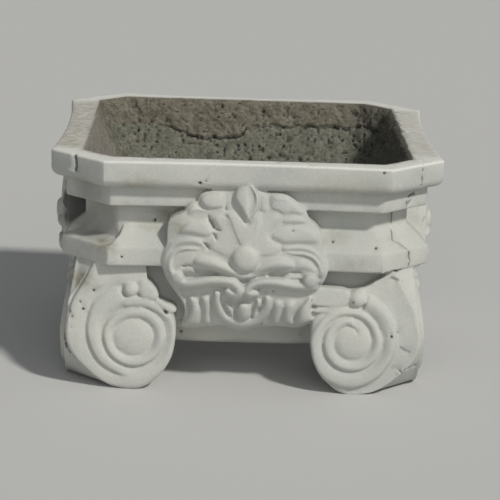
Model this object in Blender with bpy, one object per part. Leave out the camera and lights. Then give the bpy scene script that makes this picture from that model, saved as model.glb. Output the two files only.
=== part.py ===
"""A hollow cast-concrete capital for a pillar: slab, band, neck and corona over a flared bell,
a shell on each side and a scrolled volute under each corner. Metres, +Z up, the four feet of
the volutes on z = 0, the pillar's axis on the Z axis. The whole casting is one piece."""

import math

import bpy
from mathutils import Matrix, Vector

# Heights, from the feet up.
FOOT_DROP = 0.043  # how far the volutes hang below the bell
BELL_HEIGHT = 0.119
CORONA_HEIGHT = 0.026
SLOPE_HEIGHT = 0.025
NECK_HEIGHT = 0.026
BAND_HEIGHT = 0.026
SLAB_HEIGHT = 0.035

# The plan: a square with cut corners and slightly hollow sides.
SLAB_WIDTH = 0.500
CORNER_CUT = 0.070  # length that each cut takes off a side
SIDE_HOLLOW = 0.008  # how far the middle of a side lies behind its ends
BAND_INSET = 0.019
NECK_INSET = 0.043
CORONA_INSET = 0.0145
SLAB_EDGE = 0.013  # radius of the slab's lower edge
RIM_EDGE = 0.003  # chamfer of the slab's upper edge

# The bell and the hollow inside.
BELL_RADIUS = 0.160  # to the middle of a side at its foot, and the shaft's radius
BELL_SQUARENESS = 4  # 2 would be a round bell; the higher, the flatter its sides
BELL_FLARE = 0.042  # how far the bell spreads up to the corona
BELL_STRAIGHT = 0.030  # height of its foot, below the flare
BELL_EDGE = 0.007
BELL_WALL = 0.040
RIM_WIDTH_X = 0.043
RIM_WIDTH_Y = 0.034
RIM_CUT = 0.038  # the hollow's own corner cut at the rim
NECK_WALL = 0.027  # concrete left behind the neck, at its corners
NECK_WALL_CUT = 0.026

# The volutes.
VOLUTE_REACH = 0.0875  # from the eye to the outer arris
ARRIS_INSET = 0.0235  # from the slab's edge to the outer arris, where it reaches furthest
VOLUTE_INSET_TOP = 0.033
VOLUTE_INSET_EYE = 0.020
SHAFT_GAP = 0.003  # between the horns and the shaft, which is as wide as the bell
CHANNEL_RIM = 0.003  # how far the outer arris stands before the face
CHANNEL_RIM_WIDTH = 0.013
SPIRAL_RELIEF = 0.006
BAND_SINK = 0.0006  # how far the band's two edges lie behind the face
BAND_GAP = 0.001  # flat groove between one turn and the next
EYE_RELIEF = 0.005
BEAD_RADIUS = 0.010
BEAD_RELIEF = 0.0085
STEM_HEIGHT = 0.024
STEM_START = 0.085  # from the middle of the side to the strip's inner end
STEM_RELIEF = 0.004
STEM_EDGE = 0.002
STEM_BACK = 0.018  # how far the ground behind the strip lies behind the volute's face
BEDDING = 0.005  # how far a raised form reaches into what carries it
STAGGER = 0.001  # keeps hidden faces of two forms out of one plane

# The shell on each side.
SHELL_RAISE = 0.014  # its ball above the underside of the corona
SHELL_INSET = 0.024  # from the slab's edge to the shell's outline
SHELL_CUSHION = 0.012  # how far the ground under the lobes swells before the outline
SHELL_LEAN = 0.25  # how far a place drops for each length that it lies behind the slab's edge
SHELL_COVER = 0.009  # concrete between a shell's back and the hollow
SHELL_SIZE = 0.001  # one unit of the shell's own drawing
SHELL_FALL = 42  # where the ground starts to fall back, in units below the ball
SHELL_LOW = 96
SHELL_FALL_BACK = 0.016  # how far the lowest leaves lie behind the rest
SHELL_NOTCH = 9  # the most that the outline steps in from one spoke to the next

# Fineness of the mesh.
SIDE_STEPS = 6
FLARE_STEPS = 4
SPIRAL_STEP = 20  # degrees
EYE_SIDES = 10
BEAD_SIDES = 8
SHELL_SPOKES = 56
SHELL_RINGS = 12
SHELL_KEPT = 0.52
SOFT_ANGLE = 40  # degrees, below which an edge is shaded smooth

CONCRETE = (0.66, 0.655, 0.62, 1.0)

bell_bottom = FOOT_DROP
corona_bottom = bell_bottom + BELL_HEIGHT
slope_bottom = corona_bottom + CORONA_HEIGHT
neck_bottom = slope_bottom + SLOPE_HEIGHT
band_bottom = neck_bottom + NECK_HEIGHT
slab_bottom = band_bottom + BAND_HEIGHT
top = slab_bottom + SLAB_HEIGHT
half_width = SLAB_WIDTH / 2
throat_radius = BELL_RADIUS - BELL_WALL
neck_half = half_width - NECK_INSET - NECK_WALL
eye_offset = half_width - ARRIS_INSET - VOLUTE_REACH
horn_back = (BELL_RADIUS - BEDDING) / math.sqrt(2)
shell_centre = corona_bottom + SHELL_RAISE
shell_face = half_width - SHELL_INSET

# The front of a volute, in shares of its reach about its eye, from the foot up: the height, then
# the inner side of the scroll, then the outer arris beside the hem.
VOLUTE_OUTLINE = (
    (-0.79, -0.10, 0.23), (-0.75, -0.19, 0.41), (-0.64, -0.32, 0.57), (-0.49, -0.46, 0.72),
    (-0.32, -0.55, 0.88), (-0.12, -0.60, 0.99), (0.08, -0.61, 1.00), (0.28, -0.59, 0.97),
    (0.44, -0.49, 0.915), (0.54, -0.34, 0.87), (0.64, -0.20, 0.81), (0.85, -0.17, 0.69),
    (1.10, -0.15, 0.56),
)
# The scroll's band, in degrees clockwise from the top and shares of the reach.
BAND_OUTSIDE = (
    (20, 0.74), (60, 0.70), (90, 0.66), (125, 0.64), (180, 0.71), (225, 0.68), (270, 0.605),
    (315, 0.55), (360, 0.50), (380, 0.49),
)
BAND_INSIDE = (
    (20, 0.49), (60, 0.445), (300, 0.43), (360, 0.38), (420, 0.305), (480, 0.27), (600, 0.262),
    (690, 0.235), (740, 0.14),
)
BAND_PROFILE = ((0, -BAND_SINK), (0.68, SPIRAL_RELIEF), (1, -BAND_SINK), (0.5, -BEDDING))
EYE_SIZE = 0.235
BEAD_PLACE = (0.06, 0.65)

# The shell's lobes, drawn on the right of its middle in units of SHELL_SIZE from the ball:
# the points of each ridge, then its half width and its rise at each of them.
BALL = (18, 17)
MIDDLE_LOBES = (
    (((0, 92), (0, 72), (0, 44)), (4, 15, 9), (8, 14, 12)),
    (((0, 40), (0, 22)), (17, 14), (8, 8)),
    (((0, -57), (0, -80)), (11, 9), (9, 6)),
)
PAIRED_LOBES = (
    (((17, 56), (22, 40), (17, 22)), (7, 10, 9), (9, 9, 6)),
    (((26, 62), (50, 75)), (9, 12), (7, 10)),
    (((38, 44), (67, 58)), (8, 10), (7, 10)),
    (((38, 28), (84, 40)), (9, 13), (8, 11)),
    (((47, 14), (69, 18), (89, 14), (101, 2), (102, -13), (96, -26)), (5, 6, 6, 6, 6, 6), (7, 8, 8, 8, 8, 6)),
    (((60, 2), (77, 3), (89, -7), (93, -20), (86, -32)), (8, 9, 9, 9, 9), (9, 10, 10, 9, 9)),
    (((10, -10), (30, -5), (50, -4)), (6, 9, 10), (9, 12, 13)),
    (((4, -31), (30, -30), (60, -30), (82, -31)), (9, 9, 9, 10), (11, 11, 11, 11)),
    (((18, -48), (20, -68), (10, -84), (0, -89)), (6, 6, 6, 6), (8, 8, 6, 5)),
    (((29, -50), (27, -82)), (6, 7), (7, 5)),
    (((43, -53), (37, -84)), (7, 7), (7, 5)),
    (((58, -53), (54, -86)), (8, 8), (7, 5)),
    (((80, -45), (68, -65), (68, -88)), (8, 9, 8), (9, 9, 6)),
)


def between(table, position):
    """The value that a table of (position, value) pairs holds at a position."""
    for (low, first), (high, second) in zip(table, table[1:]):
        if position <= high:
            share = max(0.0, (position - low) / (high - low))
            return first + (second - first) * share
    return table[-1][1]


def mesh_object(name, points, faces):
    """A new object of these points and faces, with every face turned outwards."""
    mesh = bpy.data.meshes.new(name)
    mesh.from_pydata([tuple(p) for p in points], [], faces)
    mesh.validate()
    volume = sum(
        points[f[0]].dot(points[f[i]].cross(points[f[i + 1]])) for f in faces for i in range(1, len(f) - 1)
    )
    if volume < 0:
        mesh.flip_normals()
    mesh.shade_smooth()
    mesh.set_sharp_from_angle(angle=math.radians(SOFT_ANGLE))
    made = bpy.data.objects.new(name, mesh)
    bpy.context.scene.collection.objects.link(made)
    return made


def loft(name, rings, closed_profile=False):
    """Rings of equal length joined by quads: capped at both ends, or joined last to first."""
    count = len(rings[0])
    points = [point for ring in rings for point in ring]
    faces = []
    pairs = list(zip(range(len(rings)), range(1, len(rings))))
    if closed_profile:
        pairs.append((len(rings) - 1, 0))
    for low, high in pairs:
        for i in range(count):
            j = (i + 1) % count
            faces.append((low * count + i, low * count + j, high * count + j, high * count + i))
    if not closed_profile:
        faces.append(tuple(reversed(range(count))))
        faces.append(tuple(range((len(rings) - 1) * count, len(rings) * count)))
    return mesh_object(name, points, faces)


def plan_ring(half_x, half_y, cut, hollow, height):
    """The square plan with cut corners: each side runs from one cut to the next, bowed inwards."""
    ring = []
    for side in range(4):
        across, outward = ((half_x, half_y), (half_y, half_x))[side % 2]
        for step in range(SIDE_STEPS + 1):
            share = 2 * step / SIDE_STEPS - 1
            x = share * (across - cut)
            y = -(outward - hollow * (1 - share * share))
            ring.append(Matrix.Rotation(side * math.pi / 2, 3, "Z") @ Vector((x, y, height)))
    return ring


def outer_ring(inset, height):
    """The outside plan, set in evenly, so that the cut corners stay parallel to the slab's."""
    half = half_width - inset
    return plan_ring(half, half, CORNER_CUT - inset * (2 - math.sqrt(2)), SIDE_HOLLOW, height)


def round_ring(radius, height):
    """A circle with its points in the directions of the outside plan's."""
    return [Vector((p.x, p.y, 0)).normalized() * radius + Vector((0, 0, height)) for p in outer_ring(0, 0)]


def bell_ring(reach, height):
    """The bell's plan, a square with well rounded corners: reach is to the middle of a side."""
    ring = []
    for point in outer_ring(0, 0):
        way = Vector((point.x, point.y, 0)).normalized()
        share = (abs(way.x) ** BELL_SQUARENESS + abs(way.y) ** BELL_SQUARENESS) ** (1 / BELL_SQUARENESS)
        ring.append(way * reach / share + Vector((0, 0, height)))
    return ring


def flare():
    """The bell's rounded spread, from its straight foot to the corona: quickest at its start."""
    foot = bell_bottom + BELL_STRAIGHT
    shares = [step / FLARE_STEPS for step in range(FLARE_STEPS + 1)]
    return [bell_ring(BELL_RADIUS + BELL_FLARE * s, foot + (corona_bottom - foot) * s**2) for s in shares]


def body():
    """Slab, band, neck, corona and bell as one turned-in profile, with the hopper and the throat."""
    eased = SLAB_EDGE * (1 - math.cos(math.pi / 4))
    rings = [
        bell_ring(BELL_RADIUS - BELL_EDGE, bell_bottom),
        bell_ring(BELL_RADIUS, bell_bottom + BELL_EDGE),
        *flare(),
        outer_ring(CORONA_INSET, corona_bottom),
        outer_ring(CORONA_INSET, slope_bottom),
        outer_ring(NECK_INSET, neck_bottom),
        outer_ring(NECK_INSET, band_bottom),
        outer_ring(BAND_INSET, band_bottom),
        outer_ring(BAND_INSET, slab_bottom),
        outer_ring(SLAB_EDGE, slab_bottom),
        outer_ring(eased, slab_bottom + eased),
        outer_ring(0, slab_bottom + SLAB_EDGE),
        outer_ring(0, top - RIM_EDGE),
        outer_ring(RIM_EDGE, top),
        plan_ring(half_width - RIM_WIDTH_X, half_width - RIM_WIDTH_Y, RIM_CUT, 0, top),
        plan_ring(neck_half, neck_half, NECK_WALL_CUT, 0, band_bottom),
        round_ring(throat_radius, corona_bottom),
        round_ring(throat_radius, bell_bottom),
    ]
    return loft("capital", rings, closed_profile=True)


eye_height = -VOLUTE_OUTLINE[0][0] * VOLUTE_REACH


def face_distance(height):
    """How far a volute's face lies from the pillar's axis: it leans out from the corona to the eye."""
    high, low = half_width - VOLUTE_INSET_TOP, half_width - VOLUTE_INSET_EYE
    return between(((eye_height, low), (corona_bottom, high)), height)


def on_face(across, up, out):
    """A point of the front right volute's front face, from its eye, in metres."""
    height = eye_height + up
    return Vector((eye_offset + across, -(face_distance(height) + out), height))


def volute_block():
    """The front right horn: both scroll outlines with the slanted hem between them, as level slices."""
    inner_side = [(eye_height + level * VOLUTE_REACH, inner) for level, inner, _ in VOLUTE_OUTLINE]
    outer_side = [(eye_height + level * VOLUTE_REACH, outer) for level, _, outer in VOLUTE_OUTLINE]
    head = corona_bottom + BEDDING
    rings = []
    for height in sorted({h for h, _ in inner_side[:-1] if h < head} | {bell_bottom, bell_bottom + STAGGER, head}):
        face = face_distance(height)
        kept_out = BELL_RADIUS + SHAFT_GAP if height <= bell_bottom else BELL_RADIUS - BEDDING
        arris = face + CHANNEL_RIM
        inner = eye_offset + between(inner_side, height) * VOLUTE_REACH
        outer = eye_offset + between(outer_side, height) * VOLUTE_REACH
        channel = outer - CHANNEL_RIM_WIDTH
        back = max(kept_out / math.sqrt(2), inner)
        shoulder = max(math.sqrt(max(kept_out**2 - inner**2, 0)), back + STAGGER)
        plan = (
            (inner, face), (channel, face), (outer, arris), (arris, outer), (face, channel),
            (face, inner), (shoulder, inner), (back, back), (inner, shoulder),
        )
        rings.append([Vector((x, -y, height)) for x, y in plan])
    return loft("volute_block", rings)


def spiral_band():
    """The scroll's rounded band, a bar that winds in to the eye with its crest near its outer edge."""
    rings = []
    start, end = BAND_INSIDE[0][0], BAND_INSIDE[-1][0]
    for degrees in range(start, end + 1, SPIRAL_STEP):
        inside = between(BAND_INSIDE, degrees)
        outside = between(BAND_OUTSIDE, degrees)
        if degrees > BAND_OUTSIDE[-1][0]:
            outside = between(BAND_INSIDE, degrees - 360)
        outside -= BAND_GAP / VOLUTE_REACH
        angle = math.radians(degrees)
        ring = []
        for share, out in BAND_PROFILE:
            radius = (inside + (outside - inside) * share) * VOLUTE_REACH
            ring.append(on_face(radius * math.sin(angle), radius * math.cos(angle), out))
        rings.append(ring)
    return loft("spiral_band", rings)


def disc(name, place, radius, relief, sides):
    """A low round boss on the face: a rim, a shoulder and a flat top."""
    rings = []
    for share, out in ((1, STAGGER - BEDDING), (0.9, relief * 0.6), (0.5, relief)):
        turns = [2 * math.pi * i / sides for i in range(sides)]
        reach = radius * share
        rings.append([on_face(place[0] + reach * math.sin(a), place[1] + reach * math.cos(a), out) for a in turns])
    return loft(name, rings)


def eye():
    """The flat button that the scroll's band winds round."""
    return disc("eye", (0, 0), EYE_SIZE * VOLUTE_REACH, EYE_RELIEF, EYE_SIDES)


def bead():
    """The ball at the root of the scroll."""
    place = [share * VOLUTE_REACH for share in BEAD_PLACE]
    return disc("bead", place, BEAD_RADIUS, BEAD_RELIEF, BEAD_SIDES)


def bar(name, left, right, low, high, steps):
    """An upright bar on the face plane: each step gives how far out it is and how much its end is cut."""
    rings = []
    for out, edge in steps:
        end, under, over = right - edge, low + edge, high - edge
        corners = ((left, under), (end, under), (end, over), (left, over))
        rings.append([on_face(across, up, out) for across, up in corners])
    return loft(name, rings)


def stem():
    """The flat strip that runs from under the shell to the bead."""
    middle = BEAD_PLACE[1] * VOLUTE_REACH
    right = BEAD_PLACE[0] * VOLUTE_REACH - BEAD_RADIUS + STEM_EDGE
    steps = ((-STEM_BACK - BEDDING, 0), (STEM_RELIEF - STEM_EDGE, 0), (STEM_RELIEF, STEM_EDGE))
    low, high = middle - STEM_HEIGHT / 2, middle + STEM_HEIGHT / 2
    return bar("stem", STEM_START - eye_offset, right, low, high, steps)


def web():
    """The sunk ground behind the strip, which joins the volute to the bell and the corona."""
    low = BEAD_PLACE[1] * VOLUTE_REACH - STEM_HEIGHT / 2 + STAGGER
    high = corona_bottom + BEDDING - STAGGER - eye_height
    depth = half_width - VOLUTE_INSET_EYE - horn_back - BEDDING
    return bar("web", STEM_START - STAGGER - eye_offset, 0, low, high, ((-depth, 0), (-STEM_BACK, 0)))


def ridge_rise(x, up, path, widths, rises):
    """How high one lobe stands at a point, in the shell's units; None beyond its edge."""
    best = None
    for (a, b), (wide_a, wide_b), (rise_a, rise_b) in zip(
        zip(path, path[1:]), zip(widths, widths[1:]), zip(rises, rises[1:])
    ):
        run = Vector((b[0] - a[0], b[1] - a[1]))
        place = Vector((x - a[0], up - a[1]))
        share = min(1.0, max(0.0, place.dot(run) / run.length_squared))
        away = (place - run * share).length / (wide_a + (wide_b - wide_a) * share)
        if away < 1:
            rise = (rise_a + (rise_b - rise_a) * share) * math.sqrt(1 - away * away)
            best = rise if best is None else max(best, rise)
    return best


def shell_rise(x, up):
    """The highest lobe at a point of the shell, or None outside its outline."""
    found = [ridge_rise(x, up, *lobe) for lobe in MIDDLE_LOBES]
    found += [ridge_rise(abs(x), up, *lobe) for lobe in PAIRED_LOBES]
    radius, rise = BALL
    if math.hypot(x, up) < radius:
        found.append(rise * math.sqrt(1 - (math.hypot(x, up) / radius) ** 2))
    found = [rise for rise in found if rise is not None]
    return max(found) if found else None


def shell_ground(up, share):
    """The ground under the lobes: a low cushion that falls back a little behind the leaves."""
    fallen = min(1.0, max(0.0, (-up - SHELL_FALL) / (SHELL_LOW - SHELL_FALL)))
    return shell_face + SHELL_CUSHION * (1 - share * share) - SHELL_FALL_BACK * fallen


def shell_point(x, up, share, rise):
    """A point of the shell's front, in metres: what lies further back also lies lower."""
    out = shell_ground(up, share) + rise * SHELL_SIZE
    return Vector((x * SHELL_SIZE, -out, shell_centre + up * SHELL_SIZE - SHELL_LEAN * (half_width - out)))


def shell_back(height):
    """How far the shell reaches in: to a little outside the hollow."""
    hollow = ((corona_bottom, throat_radius), (band_bottom, neck_half), (top, half_width - RIM_WIDTH_Y))
    return between(hollow, height) + SHELL_COVER


def shell_reaches():
    """How far the outline lies from the ball along each spoke, with its deep notches eased."""
    found = []
    for spoke in range(SHELL_SPOKES):
        angle = 2 * math.pi * (spoke + 0.5) / SHELL_SPOKES
        across, along = math.sin(angle), math.cos(angle)
        found.append(max(r for r in range(2 * SHELL_LOW) if shell_rise(r * across, r * along) is not None))
    for _ in range(3):
        beside = [max(found[i - 1], found[(i + 1) % SHELL_SPOKES]) for i in range(SHELL_SPOKES)]
        found = [max(own, near - SHELL_NOTCH) for own, near in zip(found, beside)]
    return found


def shell():
    """The front shell: spokes from the ball to the outline, raised by the lobes."""
    rings = [[] for _ in range(SHELL_RINGS + 1)]
    back = []
    for spoke, reach in enumerate(shell_reaches()):
        angle = 2 * math.pi * (spoke + 0.5) / SHELL_SPOKES
        for ring in range(1, SHELL_RINGS + 1):
            radius = reach * ring / SHELL_RINGS
            x, up = radius * math.sin(angle), radius * math.cos(angle)
            rise = 0 if ring == SHELL_RINGS else shell_rise(x, up) or 0
            rings[ring].append(shell_point(x, up, ring / SHELL_RINGS, rise))
        height = rings[SHELL_RINGS][-1].z
        back.append(Vector((x * SHELL_SIZE, -shell_back(height), height)))
    points = [shell_point(0, 0, 0, BALL[1])]
    points += [point for ring in rings[1:] + [back] for point in ring]
    points.append(Vector((0, -shell_back(shell_centre), shell_centre)))
    faces = []
    for spoke in range(SHELL_SPOKES):
        after = (spoke + 1) % SHELL_SPOKES
        faces.append((0, 1 + spoke, 1 + after))
        for ring in range(SHELL_RINGS):
            low, high = 1 + ring * SHELL_SPOKES, 1 + (ring + 1) * SHELL_SPOKES
            faces.append((low + spoke, high + spoke, high + after, low + after))
        faces.append((len(points) - 1, high + after, high + spoke))
    made = mesh_object("shell", points, faces)
    fewer = made.modifiers.new("fewer faces", "DECIMATE")
    fewer.ratio = SHELL_KEPT
    return made


def copy_of(source, turn, mirrored):
    """A copy turned about the pillar's axis, first mirrored across the corner's diagonal if asked."""
    points = [vertex.co.copy() for vertex in source.data.vertices]
    if mirrored:
        points = [Vector((-p.y, -p.x, p.z)) for p in points]
    rotation = Matrix.Rotation(turn * math.pi / 2, 3, "Z")
    faces = [tuple(face.vertices) for face in source.data.polygons]
    made = mesh_object(source.name, [rotation @ p for p in points], faces)
    for modifier in source.modifiers:
        made.modifiers.new(modifier.name, modifier.type).ratio = modifier.ratio
    return made


def clear_scene():
    for old in list(bpy.data.objects):
        bpy.data.objects.remove(old, do_unlink=True)


def concrete():
    """Pale cast concrete: matt, without metal."""
    made = bpy.data.materials.new("concrete")
    made.use_nodes = True
    shader = made.node_tree.nodes["Principled BSDF"]
    shader.inputs["Base Color"].default_value = CONCRETE
    shader.inputs["Roughness"].default_value = 0.9
    shader.inputs["Metallic"].default_value = 0.0
    return made


def main():
    clear_scene()
    capital = body()
    capital.data.materials.append(concrete())
    raised = bpy.data.collections.new("raised forms")
    bpy.context.scene.collection.children.link(raised)
    face_forms = [spiral_band(), eye(), bead(), stem(), web()]
    first_forms = [volute_block(), shell()] + face_forms
    forms = list(first_forms)
    for turn in range(4):
        forms += [copy_of(form, turn, False) for form in first_forms if turn]
        forms += [copy_of(form, turn, True) for form in face_forms]
    for form in forms:
        form.hide_render = True
        form.display_type = "WIRE"
        raised.objects.link(form)
        bpy.context.scene.collection.objects.unlink(form)
    union = capital.modifiers.new("one casting", "BOOLEAN")
    union.operation = "UNION"
    union.operand_type = "COLLECTION"
    union.collection = raised
    union.solver = "EXACT"


main()
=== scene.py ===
# %% [markdown]
# # A concrete pillar capital, cast in one piece
# The capital stands on its own four scrolls. From the top down it has a square slab with cut
# corners, a band, a neck, a sloping corona and a flared bell. A shell sits on each side.
# This lesson builds it the way a mould maker would think of it: plain solid forms first, then
# the carved forms laid on them, then one skin over everything, then the marks of casting and age.

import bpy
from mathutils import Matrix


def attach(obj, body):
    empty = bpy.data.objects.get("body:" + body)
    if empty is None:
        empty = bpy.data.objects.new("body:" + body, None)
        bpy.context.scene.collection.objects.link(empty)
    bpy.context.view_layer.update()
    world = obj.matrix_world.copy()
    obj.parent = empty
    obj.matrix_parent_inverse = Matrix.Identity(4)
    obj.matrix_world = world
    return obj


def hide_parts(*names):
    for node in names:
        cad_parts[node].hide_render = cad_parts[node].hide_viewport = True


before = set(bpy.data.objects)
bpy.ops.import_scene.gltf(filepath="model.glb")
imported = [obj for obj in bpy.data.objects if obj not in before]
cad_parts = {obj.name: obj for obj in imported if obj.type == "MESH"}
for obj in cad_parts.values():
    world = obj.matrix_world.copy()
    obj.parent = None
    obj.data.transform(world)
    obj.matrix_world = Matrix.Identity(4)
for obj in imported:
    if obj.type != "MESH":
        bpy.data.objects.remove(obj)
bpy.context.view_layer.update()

# %% [markdown]
# ## Numbers and vectors
# Thousands of points are worked out at once with numpy, which is part of Blender. All drawings
# below are in millimetres, because that is how a maker reads them, and are turned into metres
# only when a mesh is made.

# %% Modules and units
import math

import bpy
import numpy as np
from mathutils import Matrix, Vector

MM = 0.001
VOXEL = 1.3 * MM
MOST_TRIANGLES = 196000
print(f"skin fineness {VOXEL / MM:.1f} mm")

# %% [markdown]
# ## The camera
# The photograph was taken from about three metres away, slightly above the rim and a little to
# the left of the middle, with the camera tipped by two degrees. A long lens keeps the upright
# lines nearly parallel. The camera's axes are worked out from three angles.

# %% Camera
CAMERA_PLACE = Vector((-0.04310, -2.81048, 0.82912))
LOOKS_TO = math.radians(1.0709)  # from straight ahead, to the right
LOOKS_DOWN = math.radians(13.9657)
ROLLS = math.radians(1.9614)
LENS = 151.872

level_share = math.cos(LOOKS_DOWN)
ahead = Vector(
    (math.sin(LOOKS_TO) * level_share, math.cos(LOOKS_TO) * level_share, -math.sin(LOOKS_DOWN))
)
level_right = ahead.cross(Vector((0, 0, 1))).normalized()
level_up = level_right.cross(ahead)
right = level_right * math.cos(ROLLS) + level_up * math.sin(ROLLS)
up = level_up * math.cos(ROLLS) - level_right * math.sin(ROLLS)

camera_data = bpy.data.cameras.new("camera")
camera_data.lens = LENS
camera_data.sensor_width = 36.0
camera = bpy.data.objects.new("camera", camera_data)
bpy.context.scene.collection.objects.link(camera)
turned = Matrix((right, up, -ahead)).transposed().to_4x4()
camera.matrix_world = Matrix.Translation(CAMERA_PLACE) @ turned
bpy.context.scene.camera = camera
print(f"camera {CAMERA_PLACE.length:.2f} m from the middle of the feet")

# %% [markdown]
# ## Light
# The real one stands in hazy sunlight from the front right, so that shadows are soft at their
# edges and the sky fills them. A sun lamp with a wide disc gives the first. A second and weaker
# lamp, wide as a window, stands for the bright haze in front, and a pale world colour for the
# rest of the sky.

# %% Lamps and sky
def sun_lamp(name, comes_from, energy, disc, colour=(1, 1, 1)):
    """A sun lamp whose disc is so many degrees wide."""
    data = bpy.data.lights.new(name, "SUN")
    data.energy = energy
    data.angle = math.radians(disc)
    data.color = colour
    lamp = bpy.data.objects.new(name, data)
    lamp.rotation_mode = "QUATERNION"
    lamp.rotation_quaternion = comes_from.to_track_quat("Z", "Y")
    bpy.context.scene.collection.objects.link(lamp)


SUN_FROM = Vector((0.54, -0.60, 0.76))
sun_lamp("sun", SUN_FROM, 2.35, 6, (1.0, 0.975, 0.93))
sun_lamp("bright haze", Vector((0.1, -1.0, 0.15)), 0.75, 70)

bpy.context.scene.view_settings.view_transform = "Standard"
world = bpy.data.worlds.new("hazy sky")
world.use_nodes = True
sky = world.node_tree.nodes["Background"]
sky.inputs["Color"].default_value = (0.93, 0.97, 1.0, 1)
sky.inputs["Strength"].default_value = 0.2
bpy.context.scene.world = world
print("sun from", tuple(round(c, 2) for c in SUN_FROM.normalized()))

# %% [markdown]
# ## The floor
# A large pale sheet with a dull surface. It is part of the stage, not of the casting, and its
# far edge lies well outside the view.

# %% Floor
FLOOR_REACH = 12.0
floor_mesh = bpy.data.meshes.new("floor")
square = ((-1, -1), (1, -1), (1, 1), (-1, 1))
corners = [(x * FLOOR_REACH, y * FLOOR_REACH, 0) for x, y in square]
floor_mesh.from_pydata(corners, [], [(0, 1, 2, 3)])
floor = bpy.data.objects.new("floor", floor_mesh)
bpy.context.scene.collection.objects.link(floor)
pale = bpy.data.materials.new("pale floor")
pale.use_nodes = True
paint = pale.node_tree.nodes["Principled BSDF"]
paint.inputs["Base Color"].default_value = (0.58, 0.58, 0.57, 1)
paint.inputs["Roughness"].default_value = 0.9
floor_mesh.materials.append(pale)
print("floor", 2 * FLOOR_REACH, "m wide")

# %% [markdown]
# ## A skin of triangles
# Every plain form here is a stack of rings: the same number of points on each, joined to the
# next ring by triangles. `skin` joins them and closes both ends, or joins the last ring to the
# first for a form with a hole through it. A form is kept as two arrays, its points and its
# triangles, so that it can be turned and mirrored before any mesh exists.

# %% Rings into a form
def outward(points, triangles):
    """The form with its triangles turned so that they face out."""
    a, b, c = (points[triangles[:, i]] for i in range(3))
    volume = np.einsum("ij,ij->", a, np.cross(b, c))
    return points, (triangles if volume > 0 else triangles[:, ::-1])


def skin(rings, ends=None):
    """Triangles over a stack of rings, closed by two end points, or a loop without them."""
    rings = np.asarray(rings, float)
    rows, columns = rings.shape[:2]
    index = np.arange(rows * columns).reshape(rows, columns)
    low, high = (index, np.roll(index, -1, 0)) if ends is None else (index[:-1], index[1:])
    low_next, high_next = np.roll(low, -1, 1), np.roll(high, -1, 1)
    both = ((low, low_next, high_next), (low, high_next, high))
    found = [np.stack(t, -1).reshape(-1, 3) for t in both]
    points = rings.reshape(-1, 3)
    if ends is not None:
        first, last = np.full(columns, len(points)), np.full(columns, len(points) + 1)
        points = np.vstack([points, np.asarray(ends, float)])
        found.append(np.stack([first, np.roll(index[0], -1), index[0]], -1))
        found.append(np.stack([last, index[-1], np.roll(index[-1], -1)], -1))
    return outward(points, np.vstack(found))


forms = []
print("a form is (points, triangles)")

# %% [markdown]
# ## The same form at every corner
# The capital is alike under quarter turns, and a corner is alike on both sides of its diagonal.
# So a form is made once, for the front or the front right corner, and is turned and mirrored.

# %% Turn and mirror
def turned_form(form, quarters, mirrored=False):
    """The form turned about the pillar's axis, first mirrored across the corner's diagonal."""
    points, triangles = form
    x, y, z = points.T
    if mirrored:
        x, y = -y, -x
    for _ in range(quarters):
        x, y = -y, x
    return outward(np.stack([x, y, z], -1), triangles)


corner_spot = (np.array([(0.2, -0.1, 0.0)]), np.array([(0, 0, 0)]))
print("a spot on the front right corner, mirrored:", turned_form(corner_spot, 0, True)[0][0])

# %% [markdown]
# ## Softened outlines
# A mould maker's outline has no corners that a trowel could not follow. Cutting each corner of
# a drawn line at a quarter of its sides, again and again, gives a smooth curve through a few
# drawn points. The rule works for rows of any numbers, so it also smooths the widths and
# heights that go with a line.

# %% Corner cutting
def softened(rows, times=2, closed=False):
    """The drawn rows with their corners cut, ends kept where the line is open."""
    rows = np.asarray(rows, float)
    for _ in range(times):
        after = np.roll(rows, -1, 0) if closed else rows[1:]
        before = rows if closed else rows[:-1]
        cut = np.stack([0.75 * before + 0.25 * after, 0.25 * before + 0.75 * after], 1)
        cut = cut.reshape(-1, rows.shape[1])
        rows = cut if closed else np.vstack([rows[:1], cut, rows[-1:]])
    return rows


def smooth_step(value, low, high):
    """0 below low, 1 above high, and an even slope between."""
    share = np.clip((value - low) / (high - low), 0, 1)
    return share * share * (3 - 2 * share)


print("a square softened twice has", len(softened(square, 2, True)), "points")

# %% [markdown]
# ## The plan
# The plan is a square with its corners cut off at 45 degrees, and its long sides are bowed
# inwards by a few millimetres, as old drawings of such capitals show. The bell's plan is square
# with well rounded corners. Every ring has the same number of points in the same directions, so
# that any two can be joined.

# %% Rings of the plan
HALF = 250.0
CORNER_CUT = 70.0
BOWED = 8.0
SIDE_STEPS = 40
CUT_STEPS = 12


def plan(half_x, half_y, cut, hollow, height):
    """One square ring with cut corners: along each side, then across the corner."""
    rows = []
    share = np.linspace(-1, 1, SIDE_STEPS + 1)
    for side in range(4):
        along, out = ((half_x, half_y), (half_y, half_x))[side % 2]
        line = np.stack([share * (along - cut), -(out - hollow * (1 - share**2))], -1)
        corner = np.array([out, -(along - cut)])
        step = np.linspace(0, 1, CUT_STEPS + 1)[1:-1, None]
        line = np.vstack([line, line[-1] + (corner - line[-1]) * step])
        for _ in range(side):
            line = np.stack([-line[:, 1], line[:, 0]], -1)
        rows.append(line)
    flat = np.vstack(rows)
    return np.column_stack([flat, np.full(len(flat), height)]) * MM


def outside(inset, height):
    """The outer plan, set in evenly from the slab's edge."""
    half = HALF - inset
    return plan(half, half, CORNER_CUT - inset * (2 - math.sqrt(2)), BOWED, height)


def circle(radius, height):
    """A round ring whose points lie in the directions of the square plan's."""
    flat = outside(0, 0)[:, :2]
    flat = flat / np.linalg.norm(flat, axis=1, keepdims=True) * radius * MM
    return np.column_stack([flat, np.full(len(flat), height * MM)])


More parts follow.
